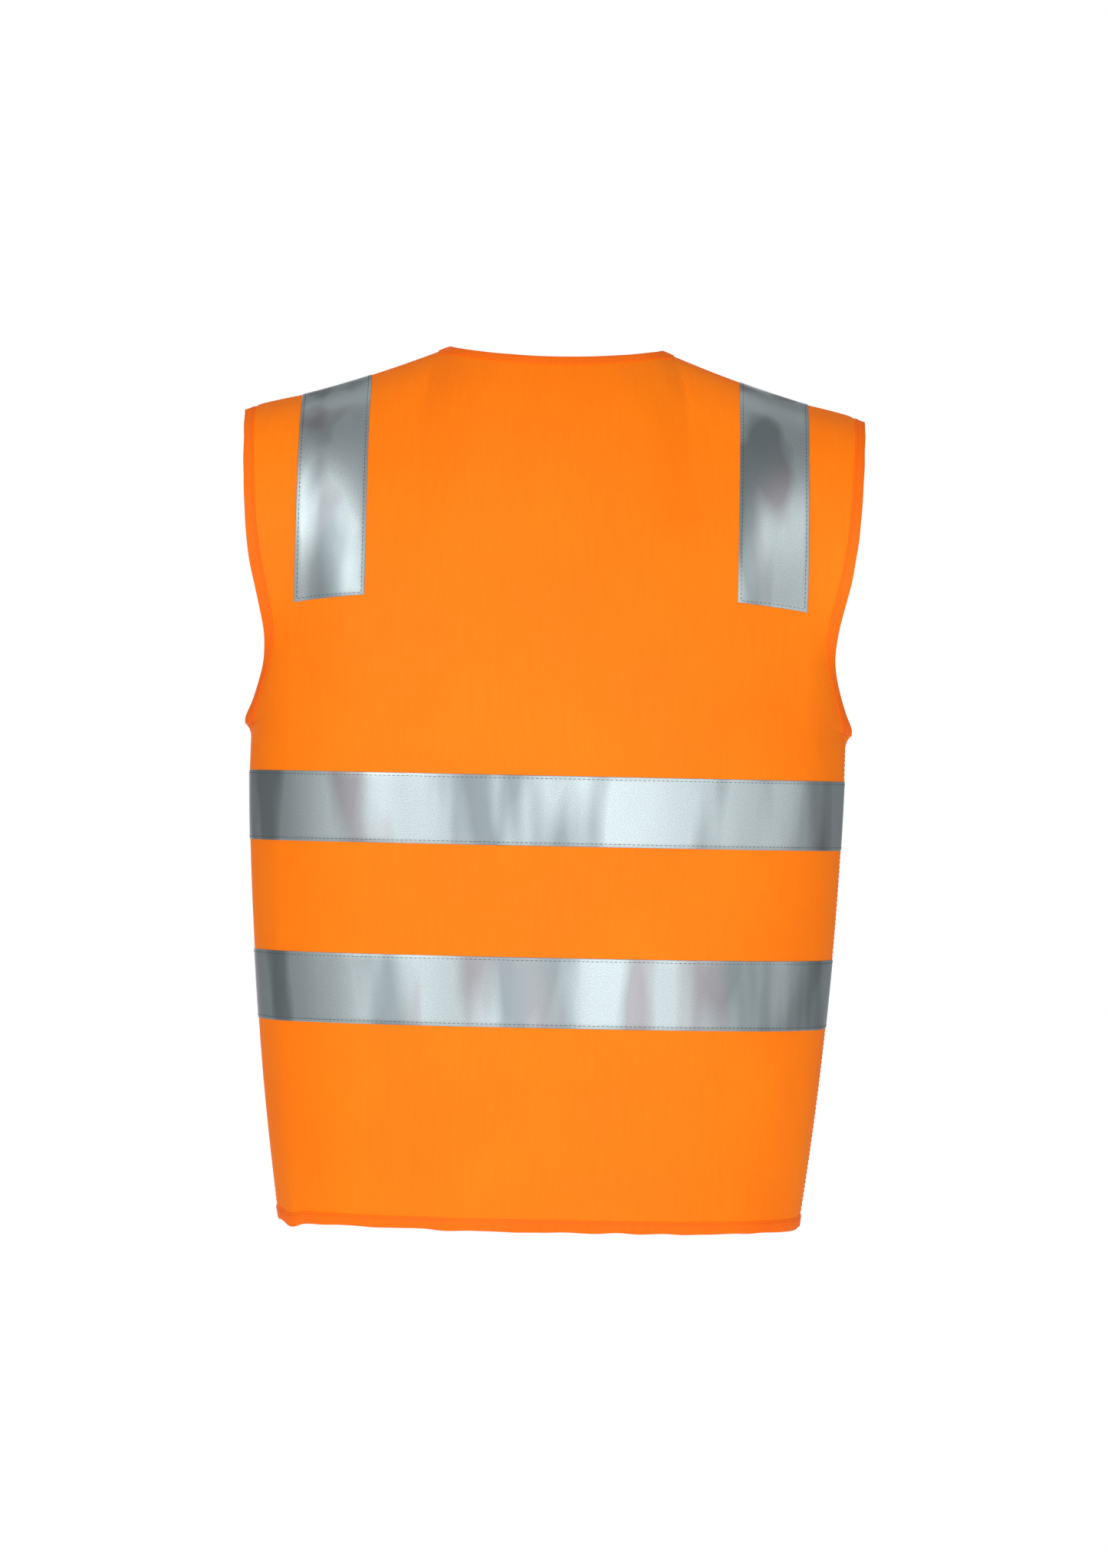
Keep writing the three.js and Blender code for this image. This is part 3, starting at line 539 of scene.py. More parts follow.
def rim_faces(rows, columns, flip):
    """Joins the edges of two grids, the second numbered after the first."""
    ring = list(range(columns))
    ring += [i * columns + columns - 1 for i in range(1, rows)]
    ring += [(rows - 1) * columns + j for j in range(columns - 2, -1, -1)]
    ring += [i * columns for i in range(rows - 2, 0, -1)]
    size = rows * columns
    made = []
    for a, b in zip(ring, ring[1:] + ring[:1]):
        quad = (a, b, b + size, a + size)
        made.append(quad if flip else quad[::-1])
    return made


def tube_faces(start, count, ring):
    """The faces of a closed tube through count rings of points, numbered from start."""
    faces = []
    for i in range(count - 1):
        for j in range(ring):
            a, b = start + i * ring + j, start + i * ring + (j + 1) % ring
            faces.append((a, b, b + ring, a + ring))
    faces.append(tuple(start + j for j in range(ring - 1, -1, -1)))
    faces.append(tuple(start + (count - 1) * ring + j for j in range(ring)))
    return faces


def cloth_uv(points):
    """Distance across and up the cloth, in mm."""
    across = np.linalg.norm(np.diff(points, axis=1), axis=2)
    u = np.concatenate([np.zeros((len(points), 1)), np.cumsum(across, axis=1)], 1)
    u -= u[:, [u.shape[1] // 2]]
    up = np.linalg.norm(np.diff(points, axis=0), axis=2)
    v = np.concatenate([np.zeros((1, points.shape[1])), np.cumsum(up, axis=0)], 0)
    return np.stack([u, v], -1).reshape(-1, 2)


def edged(values):
    """Adds a narrow step inside each end, so that shading turns only at the very edge."""
    second = values[0] + EDGE_SHARE * (values[1] - values[0])
    next_to_last = values[-1] - EDGE_SHARE * (values[-1] - values[-2])
    return np.concatenate([values[:1], [second], values[1:-1], [next_to_last], values[-1:]])


def as_cut(c, r):
    """Each row as it is."""
    return r


def sheet_piece(name, cloth, c, r, inner, outer, edge_drop=0.0, cut=as_cut):
    """A sheet on the cloth over those columns and rows. edge_drop rounds its edges down, and
    cut gives the row that each place moves to."""
    cc, rr = np.meshgrid(edged(c), edged(r))
    rr = cut(cc, rr)
    low = cloth.at(cc, rr, inner)
    lift = np.full(cc.shape, float(outer))
    for rim in (lift[0], lift[-1], lift[:, 0], lift[:, -1]):
        rim[:] = outer - edge_drop
    high = cloth.at(cc, rr, lift)
    uv = cloth_uv(high)
    rows, columns = cc.shape
    flip = cloth.face["sign"] * cloth.side < 0
    faces = grid_faces(rows, columns, 0, flip) + grid_faces(rows, columns, rows * columns, not flip)
    faces += rim_faces(rows, columns, flip)
    vertices = np.concatenate([low.reshape(-1, 3), high.reshape(-1, 3)])
    made = new_object(name, vertices, faces, np.concatenate([uv, uv]))
    both_sides = 2 * (rows - 1) * (columns - 1)
    for polygon in made.data.polygons[both_sides:]:
        polygon.use_smooth = False
    return made


def swept_piece(name, sections):
    """A closed tube through rings of points."""
    sections = np.asarray(sections)
    count, ring = sections.shape[:2]
    along = np.concatenate([[0], np.cumsum(np.linalg.norm(np.diff(sections[:, 0], axis=0), axis=1))])
    around = np.concatenate([[0], np.cumsum(np.linalg.norm(np.diff(sections[0], axis=0), axis=1))])
    uv = np.stack(np.meshgrid(along, around, indexing="ij"), -1).reshape(-1, 2)
    made = new_object(name, sections.reshape(-1, 3), tube_faces(0, count, ring), uv)
    outward(made)
    return made


def outward(obj):
    """Turns the faces of a closed piece to face out."""
    bm = bmesh.new()
    bm.from_mesh(obj.data)
    bmesh.ops.recalc_face_normals(bm, faces=bm.faces)
    bm.to_mesh(obj.data)
    bm.free()


def span(cloth, values, start, end):
    """The grid's own columns or rows between two, with both ends."""
    inside = values[(values > start + 1e-6) & (values < end - 1e-6)]
    return np.concatenate([[start], inside, [end]])


# ----------------------------------------
# Binding and stitches
# ----------------------------------------
BINDING_SHOWS = 8.2  # width of binding that shows, folded over the edge


def binding_profile(width):
    """(reach in from the edge, lift) round a strip folded over the edge of the cloth."""
    over = FABRIC + LAY
    out, under = over + BINDING, -LAY - BINDING
    fold = (out - under) / 2
    middle = (out + under) / 2
    turns = np.linspace(math.pi / 2, -math.pi / 2, 7)
    bend = [(-LAY - 0.5 * fold * math.cos(a), middle + fold * math.sin(a)) for a in turns]
    top = [(width, out - 0.25), (width - 0.5, out), (width * 0.5, out + 0.12)]
    bottom = [(width * 0.5, under), (width - 0.4, under), (width, under + 0.2)]
    inner = [(width, -LAY), (0.2, -LAY), (0.2, over), (width, over)]
    return top + bend + bottom + inner


def bound_edge(name, cloth, edge, inside, rumple, seed):
    """A binding along an edge. edge and inside are lists of (column, row)."""
    edge, inside = np.asarray(edge, float), np.asarray(inside, float)
    base = cloth.at(edge[:, 0], edge[:, 1])
    far = cloth.at(inside[:, 0], inside[:, 1])
    along = np.gradient(base, axis=0)
    along /= np.linalg.norm(along, axis=1)[:, None]
    inward = far - base
    inward -= along * (inward * along).sum(1)[:, None]
    inward /= np.linalg.norm(inward, axis=1)[:, None]
    profile = binding_profile(BINDING_SHOWS)
    sections = np.empty((len(edge), len(profile), 3))
    uneven = np.array([noise.noise(Vector(p * 0.05) + Vector((seed, 0, 0))) for p in base])
    for k, (reach, lift) in enumerate(profile):
        share = min(max(reach, 0) / BINDING_WIDTH, 1)
        place = lerp(edge, inside, share)
        sections[:, k] = cloth.at(place[:, 0], place[:, 1], lift)
        if reach < 0:
            sections[:, k] += inward * reach
        sections[:, k] += inward * (uneven * rumple * (1 - share))[:, None]
    return swept_piece(name, sections)


STITCH_RING = 5
STITCH_LENGTH = 2.2
STITCH_GAP = 1.1
STITCH_RADIUS = 0.19
STITCH_SHARES = (0.0, 0.12, 0.5, 0.88, 1.0)  # where along a stitch its rings are
STITCH_SIZES = (0.35, 0.9, 1.0, 0.9, 0.35)  # each ring's size, a share of the radius
STITCH_RISES = (-0.25, 0.0, 0.1, 0.0, -0.25)  # and its height: the ends dip into the cloth


def stitch_row(cloth, path, lift):
    """Rings of points for a row of stitches. path is a list of (column, row)."""
    path = np.asarray(path, float)
    line = Line(cloth.at(path[:, 0], path[:, 1], lift))
    normal = cloth.at(path[:, 0], path[:, 1], lift + 1.0) - line.points
    count = max(1, int(line.length / (STITCH_LENGTH + STITCH_GAP)))
    pitch = line.length / count
    turns = [2 * math.pi * a / STITCH_RING for a in range(STITCH_RING)]
    made = []
    for i in range(count):
        start = i * pitch + STITCH_GAP / 2
        where = start + np.array(STITCH_SHARES) * (pitch - STITCH_GAP)
        centre = line.at(where)
        n = np.stack([np.interp(where, line.along, normal[:, k]) for k in range(3)], -1)
        n /= np.linalg.norm(n, axis=1)[:, None]
        forward = centre[-1] - centre[0]
        forward /= np.linalg.norm(forward)
        side = np.cross(n, forward)
        for k, (size, rise) in enumerate(zip(STITCH_SIZES, STITCH_RISES)):
            middle = centre[k] + n[k] * rise
            for turn in turns:
                spoke = math.cos(turn) * n[k] + math.sin(turn) * side[k]
                made.append(middle + STITCH_RADIUS * size * spoke)
    return np.array(made)


def stitches(name, rows):
    """One object for rows of stitches, each (cloth, path, lift)."""
    vertices = np.concatenate([stitch_row(*row) for row in rows])
    rings = len(STITCH_SHARES)
    faces = []
    for start in range(0, len(vertices), rings * STITCH_RING):
        faces += tube_faces(start, rings, STITCH_RING)
    return new_object(name, vertices, faces)


# ----------------------------------------
# Materials
# ----------------------------------------
class Nodes:
    """A short way to write a material's node tree."""

    def __init__(self, name):
        self.material = bpy.data.materials.new(name)
        self.material.use_nodes = True
        self.tree = self.material.node_tree
        self.shader = self.tree.nodes["Principled BSDF"]

    def add(self, kind, inputs, **settings):
        """A node's first output. inputs holds a value or a socket for each input's number or name."""
        node = self.tree.nodes.new(kind)
        for key, value in settings.items():
            setattr(node, key, value)
        for key, value in inputs.items():
            self.plug(value, node.inputs[key])
        return node.outputs[0]

    def plug(self, value, socket):
        if isinstance(value, bpy.types.NodeSocket):
            self.tree.links.new(value, socket)
        else:
            socket.default_value = value

    def math(self, operation, a, b=0.0):
        return self.add("ShaderNodeMath", {0: a, 1: b}, operation=operation)

    def mixed(self, share, a, b):
        node = self.tree.nodes.new("ShaderNodeMix")
        node.data_type = "RGBA"
        self.plug(share, node.inputs[0])
        self.plug(a, node.inputs[6])
        self.plug(b, node.inputs[7])
        return node.outputs[2]

    def ramp(self, value, low, high):
        return self.add("ShaderNodeMapRange", {0: value, 1: low, 2: high, 3: 0.0, 4: 1.0})

    def noise(self, where, scale, detail=2.0, stretch=(1, 1, 1)):
        mapped = self.add("ShaderNodeMapping", {"Vector": where, "Scale": stretch})
        return self.add("ShaderNodeTexNoise", {"Vector": mapped, "Scale": scale, "Detail": detail})

    def uv(self):
        return self.add("ShaderNodeUVMap", {}, uv_map="cloth")

    def uv_axes(self):
        """Distance across and up the cloth."""
        node = self.tree.nodes.new("ShaderNodeSeparateXYZ")
        self.plug(self.uv(), node.inputs[0])
        return node.outputs[0], node.outputs[1]

    def places(self):
        return self.tree.nodes.new("ShaderNodeTexCoord").outputs["Object"]

    def set(self, **values):
        for key, value in values.items():
            self.plug(value, self.shader.inputs[key.replace("_", " ")])

    def bump(self, height, strength, distance):
        inputs = {"Strength": strength, "Distance": distance, "Height": height}
        self.plug(self.add("ShaderNodeBump", inputs), self.shader.inputs["Normal"])


def wave(n, axis, pitch):
    """A soft wave from 0 to 1 across the cloth. pitch is in metres."""
    turns = n.math("MULTIPLY", axis, 2 * math.pi / pitch)
    return n.math("ADD", n.math("MULTIPLY", n.math("SINE", turns), 0.5), 0.5)


def knit(name, dark, light, wale, course, relief, painted_glow):
    """Smooth knitted or woven cloth: wales up it, courses across it, a faint unevenness, and painted
    shade in the grooves between its wales.
    The last argument is painted light: an even emission of the cloth's own colour that lifts its shade,
    standing in for the light its fluorescent dye gives off."""
    n = Nodes(name)
    u, v = n.uv_axes()
    wales = wave(n, u, wale)
    courses = wave(n, v, course)
    stitch = n.math("MULTIPLY", wales, n.math("ADD", n.math("MULTIPLY", courses, 0.5), 0.5))
    uneven = n.noise(n.places(), 9.0, 3.0)
    slub = n.noise(n.uv(), 240.0, 2.0, (1, 0.15, 1))
    tone = n.math("ADD", n.math("MULTIPLY", uneven, 0.7), n.math("MULTIPLY", slub, 0.3))
    base = n.mixed(n.ramp(tone, 0.35, 0.65), dark, light)
    # painted shade: the colour darkens in the grooves between wales and courses
    groove_shaded_colour = n.mixed(n.math("MULTIPLY", n.math("SUBTRACT", 1.0, stitch), 0.45), base, dark)
    n.set(Base_Color=groove_shaded_colour, Roughness=0.62, Specular_IOR_Level=0.2)
    # painted light: the cloth emits light of its own colour, which evens out its shade
    n.set(Emission_Color=groove_shaded_colour, Emission_Strength=painted_glow)
    n.bump(n.math("ADD", stitch, n.math("MULTIPLY", slub, 0.3)), relief, 0.0002)
    return n.material


def reflective():
    """Silver tape of fine glass beads: a grainy metal sheen, with painted reflections as light and dark
    upright stripes, and a faint crinkle.
    """
    n = Nodes("reflective_tape")
    grain = n.noise(n.uv(), 1400.0, 3.0)
    # painted reflection: upright stripes of lighter colour stand in for the studio lights' reflections in
    # the tape
    painted_reflection_bands = n.noise(n.places(), 26.0, 2.0, (1, 1, 0.2))
    lilac = n.ramp(n.noise(n.places(), 17.0, 1.0, (1, 1, 0.3)), 0.46, 0.58)
    shade = n.mixed(lilac, (0.30, 0.36, 0.375, 1), (0.40, 0.385, 0.41, 1))
    painted_band_colour = n.mixed(n.ramp(painted_reflection_bands, 0.42, 0.57), shade, (0.57, 0.66, 0.675, 1))
    base = n.mixed(n.math("MULTIPLY", n.ramp(grain, 0.38, 0.66), 0.5), painted_band_colour, (0.26, 0.29, 0.30, 1))
    crinkle = n.noise(n.uv(), 55.0, 2.0, (1, 0.35, 1))
    rough = n.math("ADD", 0.34, n.math("MULTIPLY", grain, 0.14))
    n.set(Base_Color=base, Metallic=0.82, Roughness=rough)
    n.bump(n.math("ADD", n.math("MULTIPLY", grain, 0.25), crinkle), 0.35, 0.0006)
    return n.material


def thread(name, colour):
    n = Nodes(name)
    twist = n.noise(n.places(), 2600.0, 1.0)
    light = tuple(min(1.0, x * 1.5 + 0.02) for x in colour[:3]) + (1,)
    n.set(Base_Color=n.mixed(twist, colour, light), Roughness=0.6, Specular_IOR_Level=0.4)
    return n.material


def moulded(name, colour, worn):
    n = Nodes(name)
    speck = n.noise(n.places(), 900.0, 2.0)
    scuff = n.ramp(n.noise(n.places(), 160.0, 4.0), 0.5, 0.75)
    base = n.mixed(n.math("MULTIPLY", scuff, 0.35), colour, worn)
    n.set(Base_Color=base, Roughness=n.math("ADD", 0.3, n.math("MULTIPLY", speck, 0.2)))
    n.bump(speck, 0.1, 0.0001)
    return n.material


def metal(name, colour, worn_colour):
    n = Nodes(name)
    brushed = n.noise(n.places(), 700.0, 3.0, (1, 1, 0.08))
    worn = n.ramp(n.noise(n.places(), 260.0, 4.0), 0.52, 0.72)
    base = n.mixed(n.math("MULTIPLY", worn, 0.4), colour, worn_colour)
    rough = n.math("ADD", 0.3, n.math("MULTIPLY", brushed, 0.2))
    n.set(Base_Color=base, Metallic=1.0, Roughness=rough)
    n.bump(brushed, 0.12, 0.0001)
    return n.material


def label_cloth(name):
    n = Nodes(name)
    u, v = n.uv_axes()
    weave = n.math("MULTIPLY", wave(n, u, 0.0007), wave(n, v, 0.0006))
    # painted shade and highlight: the weave's dips are darker, its raised threads lighter
    base = n.mixed(weave, (0.76, 0.76, 0.73, 1), (0.86, 0.86, 0.84, 1))
    n.set(Base_Color=base, Roughness=0.7)
    n.bump(weave, 0.3, 0.0001)
    return n.material


# The last number of each knit is its painted emission, which lifts the cloth's shade.
CLOTH_LOOK = knit(
    "orange_knit", (0.93, 0.178, 0.0005, 1), (0.97, 0.212, 0.001, 1), 0.0017, 0.0013, 0.5, 0.24
)
BINDING_LOOK = knit(
    "orange_binding", (0.92, 0.140, 0.001, 1), (0.97, 0.170, 0.002, 1), 0.0008, 0.0008, 0.5, 0.24
)
ZIP_TAPE_LOOK = knit(
    "zip_tape", (0.80, 0.110, 0.002, 1), (0.95, 0.155, 0.004, 1), 0.0009, 0.0006, 0.7, 0.15
)
TAPE_LOOK = reflective()
TAPE_THREAD = thread("tape_thread", (0.025, 0.060, 0.066, 1))
ORANGE_THREAD = thread("orange_thread", (0.75, 0.085, 0.002, 1))
LABEL_LOOK = label_cloth("label")
PLASTIC_LOOK = moulded("zip_plastic", (0.86, 0.135, 0.004, 1), (1.0, 0.30, 0.08, 1))
METAL_LOOK = metal("zip_metal", (0.22, 0.22, 0.23, 1), (0.38, 0.38, 0.39, 1))


# ----------------------------------------
# The soft pieces
# ----------------------------------------
STITCH_INSET = 2.2  # from a tape's edge to its stitching
STRAP_SLANT = 2.8  # how much higher a shoulder tape's end is on its outer edge
SEAM_STITCH = 3.0  # from a seam to the stitching beside it
ORANGE_STITCH = 0.64  # how far in across a binding its stitching runs
THREAD_LIFT = 0.05
THREAD_ON_BINDING = 0.1
TAPE_EDGE_DROP = 0.1
HEM_RUMPLE = 1.1  # how far a binding's edge wanders in and out
ARM_RUMPLE = 0.5
NECK_RUMPLE = 0.2

HOOPS = (("lower", LOWER_TAPE, LOWER_TAPE_TOP), ("upper", UPPER_TAPE, UPPER_TAPE_TOP))
BARE_SIDE = ((HEM_BINDING, LOWER_TAPE), (LOWER_TAPE_TOP, UPPER_TAPE), (UPPER_TAPE_TOP, UNDERARM))
BARE_SHOULDER = ((NECK, STRAP_IN), (STRAP_OUT, ARM_BINDING))
CLOTHS = {"back": BACK_CLOTH, "left_front": FRONT_CLOTHS["left"], "right_front": FRONT_CLOTHS["right"]}


def mirrors(body):
    """The back's cloth runs from side to side, so it has each thing twice."""
    return (1, -1) if body == "back" else (1,)


def first_column(body):
    return -SIDE if body == "back" else CENTRE


def carried(piece, body):
    if body == "back":
        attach(piece, "back")
        return
    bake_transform(piece)


def soft(piece, body, look, nodes=()):
    piece.data.materials.append(look)
    carried(piece, body)
    if nodes:
        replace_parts(piece, *nodes)
    return piece


def across(cloth, start, end):
    return span(cloth, cloth.c, start, end)


def up(cloth, start, end):
    return span(cloth, cloth.r, start, end)


def along_row(cloth, r, start, end):
    return [(c, r) for c in across(cloth, start, end)]


def along_column(cloth, c, start, end):
    return [(c, r) for r in up(cloth, start, end)]


def node_name(body, what):
    """lower_back_tape on the back, left_lower_front_tape on the left front."""
    if body == "back":
        return what.format("back")
    return body.split("_")[0] + "_" + what.format("front")


def panel(body):
    cloth = CLOTHS[body]
    piece = sheet_piece(body + "_cloth", cloth, cloth.c, cloth.r, 0, FABRIC)
    node = "back_panel" if body == "back" else body + "_panel"
    return soft(piece, body, CLOTH_LOOK, [node])


def hoop_tapes(body):
    cloth = CLOTHS[body]
    lift = FABRIC + LAY
    made = []
    for name, low, high in HOOPS:
        node = node_name(body, name + "_{}_tape")
        c, r = across(cloth, first_column(body), SIDE), up(cloth, low, high)
        piece = sheet_piece(node + "_visual", cloth, c, r, lift, lift + TAPE, TAPE_EDGE_DROP)
        made.append(soft(piece, body, TAPE_LOOK, [node]))
    return made


def strap_cut(c, r):
    """The strap's end is cut a little off the cloth's rows: its outer corner sits higher."""
    slant = STRAP_SLANT / (STRAP_LENGTH - BINDING_WIDTH) * (np.abs(c) - (STRAP_IN + STRAP_OUT) / 2)
    return r + slant * (TOP - r) / (TOP - STRAP_END)


def strap_tapes(body):
    cloth = CLOTHS[body]
    lift = FABRIC + LAY
    if body == "back":
        nodes = {side + "_shoulder_tape_back": mirror for side, mirror in SIDES.items()}
    else:
        nodes = {body.split("_")[0] + "_shoulder_tape_front": 1}
    made = []
    for node, mirror in nodes.items():
        columns = sorted((mirror * STRAP_IN, mirror * STRAP_OUT))
        c, r = across(cloth, *columns), up(cloth, STRAP_END, TOP)
        piece = sheet_piece(node + "_visual", cloth, c, r, lift, lift + TAPE, TAPE_EDGE_DROP, strap_cut)
        made.append(soft(piece, body, TAPE_LOOK, [node]))
    return made


def tape_stitches(body):
    """Along both edges of each tape, and across each strap's end."""
    cloth = CLOTHS[body]
    lift = FABRIC + LAY + TAPE + THREAD_LIFT
    inset = STITCH_INSET / TAPE_WIDTH
    rows = []
    for _, low, high in HOOPS:
        for r in (low + inset, high - inset):
            rows.append((cloth, along_row(cloth, r, first_column(body), SIDE), lift))
    foot = STRAP_END + STITCH_INSET / STRAP_LENGTH
    for mirror in mirrors(body):
        edges = [mirror * (STRAP_IN + inset), mirror * (STRAP_OUT - inset)]
        lines = [along_column(cloth, c, foot, TOP) for c in edges]
        lines.append(along_row(cloth, foot, *sorted(edges)))
        for line in lines:
            rows.append((cloth, [(c, strap_cut(c, r)) for c, r in line], lift))
    return soft(stitches(body + "_tape_stitches", rows), body, TAPE_THREAD)


def row_edge(node, columns, edge, inside, rumple):
    return node, [(c, edge) for c in columns], [(c, inside) for c in columns], rumple


def column_edge(node, rows, edge, inside, rumple):
    return node, [(edge, r) for r in rows], [(inside, r) for r in rows], rumple


def edges_to_bind(body):
    """(node, edge places, inside places, rumple) for each binding of a body."""
    cloth = CLOTHS[body]
    hem = across(cloth, first_column(body), SIDE)
    arm = up(cloth, UNDERARM, TOP)
    if body == "back":
        neck = across(cloth, -NECK, NECK)
        return [
            row_edge("back_hem_binding", hem, HEM, HEM_BINDING, HEM_RUMPLE),
            row_edge("back_neck_binding", neck, TOP, NECK_BINDING, NECK_RUMPLE),
            column_edge("left_armhole_binding_back", arm, SIDE, ARM_BINDING, ARM_RUMPLE),
            column_edge("right_armhole_binding_back", arm, -SIDE, -ARM_BINDING, ARM_RUMPLE),
        ]
    name = body.split("_")[0]
    return [
        row_edge(name + "_front_hem_binding", hem, HEM, HEM_BINDING, HEM_RUMPLE),
        column_edge(name + "_front_neck_binding", arm, CENTRE, NECK, NECK_RUMPLE),
        column_edge(name + "_armhole_binding_front", arm, SIDE, ARM_BINDING, ARM_RUMPLE),
    ]


def seam_stitches(body):
    """A row beside each shoulder seam and side seam, which holds its allowance flat."""
    cloth = CLOTHS[body]
    inset = SEAM_STITCH / BINDING_WIDTH
    lift = FABRIC + THREAD_LIFT
    rows = []
    for mirror in mirrors(body):
        for low, high in BARE_SIDE:
            rows.append((cloth, along_column(cloth, mirror * (SIDE - inset), low, high), lift))
        for start, end in BARE_SHOULDER:
            places = along_row(cloth, TOP - inset, *sorted((mirror * start, mirror * end)))
            rows.append((cloth, places, lift))
    return soft(stitches(body + "_seam_stitches", rows), body, ORANGE_THREAD)


def bindings(body):
    cloth = CLOTHS[body]
    made = []
    rows = []
    for seed, (node, edge, inside, rumple) in enumerate(edges_to_bind(body)):
        piece = bound_edge(node + "_visual", cloth, edge, inside, rumple, seed * 4.3)
        made.append(soft(piece, body, BINDING_LOOK, [node]))
        path = lerp(np.array(edge, float), np.array(inside, float), ORANGE_STITCH)
        rows.append((cloth, path, FABRIC + LAY + BINDING + THREAD_ON_BINDING))
    made.append(soft(stitches(body + "_binding_stitches", rows), body, ORANGE_THREAD))
    return made


LABEL_THICKNESS = 0.3
LABEL_GAP = 0.3
LABEL_COLUMN = 0.18  # the edge of the size label, a share of the way to the neck point
LABELS = {  # first and last column, first and last row
    "size_label": (-LABEL_COLUMN, LABEL_COLUMN, NECK_BINDING - 0.25, NECK_BINDING),
    "care_label": (ARM_BINDING - 0.05, SIDE - 0.02, 1.2, 1.75),
}


def labels():
    """Blank labels inside the back, each stitched along its top edge."""
    under = -LAY - LABEL_THICKNESS - LABEL_GAP
    made = []
    rows = []
    for node, (left, right, low, high) in LABELS.items():
        c = np.linspace(left, right, 9)
        r = np.linspace(low, high, 12)
        piece = sheet_piece(node + "_visual", BACK_CLOTH, c, r, under, under + LABEL_THICKNESS)
        made.append(soft(piece, "back", LABEL_LOOK, [node]))
        top = high - 0.06 * (high - low)
        rows.append((BACK_CLOTH, [(k, top) for k in np.linspace(left, right, 5)], under - 0.1))
    made.append(soft(stitches("label_stitches", rows), "back", ORANGE_THREAD))
    return made


PIECES = {}
for body in CLOTHS:
    PIECES[body] = [panel(body)] + hoop_tapes(body) + strap_tapes(body)
    PIECES[body] += [tape_stitches(body), seam_stitches(body)] + bindings(body)
PIECES["back"] += labels()


# ----------------------------------------
# The zip
# ----------------------------------------
TOOTH_PITCH = 4.0
TOOTH_HEIGHT = 2.0
TOOTH_RING = 12
TOOTH_SHAPE = (  # share of the way to the tip, height and depth: a clamp, a neck and a round head
    (0.0, 0.75, 0.7),
    (0.08, 1.0, 0.95),
    (0.34, 1.0, 1.0),
    (0.48, 0.66, 0.86),
    (0.62, 0.66, 0.82),
    (0.74, 1.0, 0.88),
    (0.9, 0.98, 0.84),
    (1.0, 0.62, 0.55),
)
CORD_WIDTH = 1.1  # the moulded cord that the teeth sit on
CORD_RING = 10
CORD_STEPS = 60
METAL_EDGES = {  # how wide each metal piece's edges are rounded
    "left_top_stop": 0.25,
    "right_top_stop": 0.25,
    "insertion_pin": 0.2,
    "retainer_pin": 0.2,
    "retainer_box": 0.3,
    "slider_body": 0.35,
    "pull_tab": 0.35,
}


def zip_sides(side):
    """The box of a side's teeth, in mm, with x measured outward from the middle."""
    low, high = (Vector(p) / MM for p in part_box(side + "_zip_teeth"))
    reach = sorted((abs(low.x), abs(high.x)))
    return reach[0], reach[1], (low.y + high.y) / 2, (high.y - low.y) / 2, low.z, high.z


def zip_tape(side):
    """The woven tape, with a soft corded edge next to the teeth."""
    body = side + "_front"
    mirror = SIDES[side]
    low, high = (Vector(p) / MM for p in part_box(side + "_zip_tape"))
    inner, outer = sorted((abs(low.x), abs(high.x)))
    y, half = (low.y + high.y) / 2, (high.y - low.y) / 2
    ring = [(outer, -half), (inner + 2.2, -half), (inner + 1.2, -half - 0.3), (inner, -half * 0.6)]
    ring += [(x, -lift) for x, lift in ring[::-1]]
    sections = []
    for z in np.linspace(low.z, high.z, 80):
        sections.append([(mirror * x, y + lift, z) for x, lift in ring])
    piece = swept_piece(side + "_zip_tape_visual", sections)
    piece.data.materials.append(ZIP_TAPE_LOOK)
    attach(piece, body)
    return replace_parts(piece, side + "_zip_tape")


def tooth(mirror, root, tip, y, half, z):
    """Rings of points for one moulded tooth."""
    made = []
    for share, tall, deep in TOOTH_SHAPE:
        x = mirror * (root - (root - tip) * share)
        for a in range(TOOTH_RING):
            turn = 2 * math.pi * a / TOOTH_RING
            square = 1 / max(abs(math.cos(turn)), abs(math.sin(turn))) ** 0.6
            out = min(square, 1.15)
            depth = half * deep * math.cos(turn) * out
            made.append((x, y + depth, z + TOOTH_HEIGHT / 2 * tall * math.sin(turn) * out))
    return made


def cord(mirror, root, y, low, high):
    """Rings of points for the cord that the teeth sit on."""
    radius = CORD_WIDTH / 2
    made = []
    for i in range(CORD_STEPS + 1):
        z = low + (high - low) * i / CORD_STEPS
        for a in range(CORD_RING):
            turn = 2 * math.pi * a / CORD_RING
            x = root - radius + radius * math.cos(turn)
            made.append((mirror * x, y + radius * math.sin(turn), z))
    return made


def zip_teeth(side):
    """A side's teeth and cord. The right side's teeth sit half a pitch higher."""
    tip, root, y, half, low, high = zip_sides(side)
    mirror = SIDES[side]
    z = low + TOOTH_HEIGHT / 2 + (TOOTH_PITCH / 2 if side == "right" else 0)
    vertices, faces = [], []
    while z <= high - TOOTH_HEIGHT / 2 + 0.1:
        faces += tube_faces(len(vertices), len(TOOTH_SHAPE), TOOTH_RING)
        vertices += tooth(mirror, root, tip, y, half, z)
        z += TOOTH_PITCH
    faces += tube_faces(len(vertices), CORD_STEPS + 1, CORD_RING)
    vertices += cord(mirror, root, y, low, high)
    piece = new_object(side + "_zip_teeth_visual", vertices, faces)
    outward(piece)
    piece.data.materials.append(PLASTIC_LOOK)
    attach(piece, side + "_front")
    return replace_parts(piece, side + "_zip_teeth")


def softened(node, width):
    """A metal CAD piece keeps its shape, with its edges rounded off."""
    piece = bpy.data.objects[node]
    piece.data.materials.clear()
    piece.data.materials.append(METAL_LOOK)
    bevel = piece.modifiers.new("edges", "BEVEL")
    bevel.width = width * MM
    bevel.segments = 3
    bevel.limit_method = "ANGLE"
    bevel.harden_normals = False
    for polygon in piece.data.polygons:
        polygon.use_smooth = False


for name in SIDES:
    PIECES[name + "_front"] += [zip_tape(name), zip_teeth(name)]
for name, width in METAL_EDGES.items():
    softened(name, width)


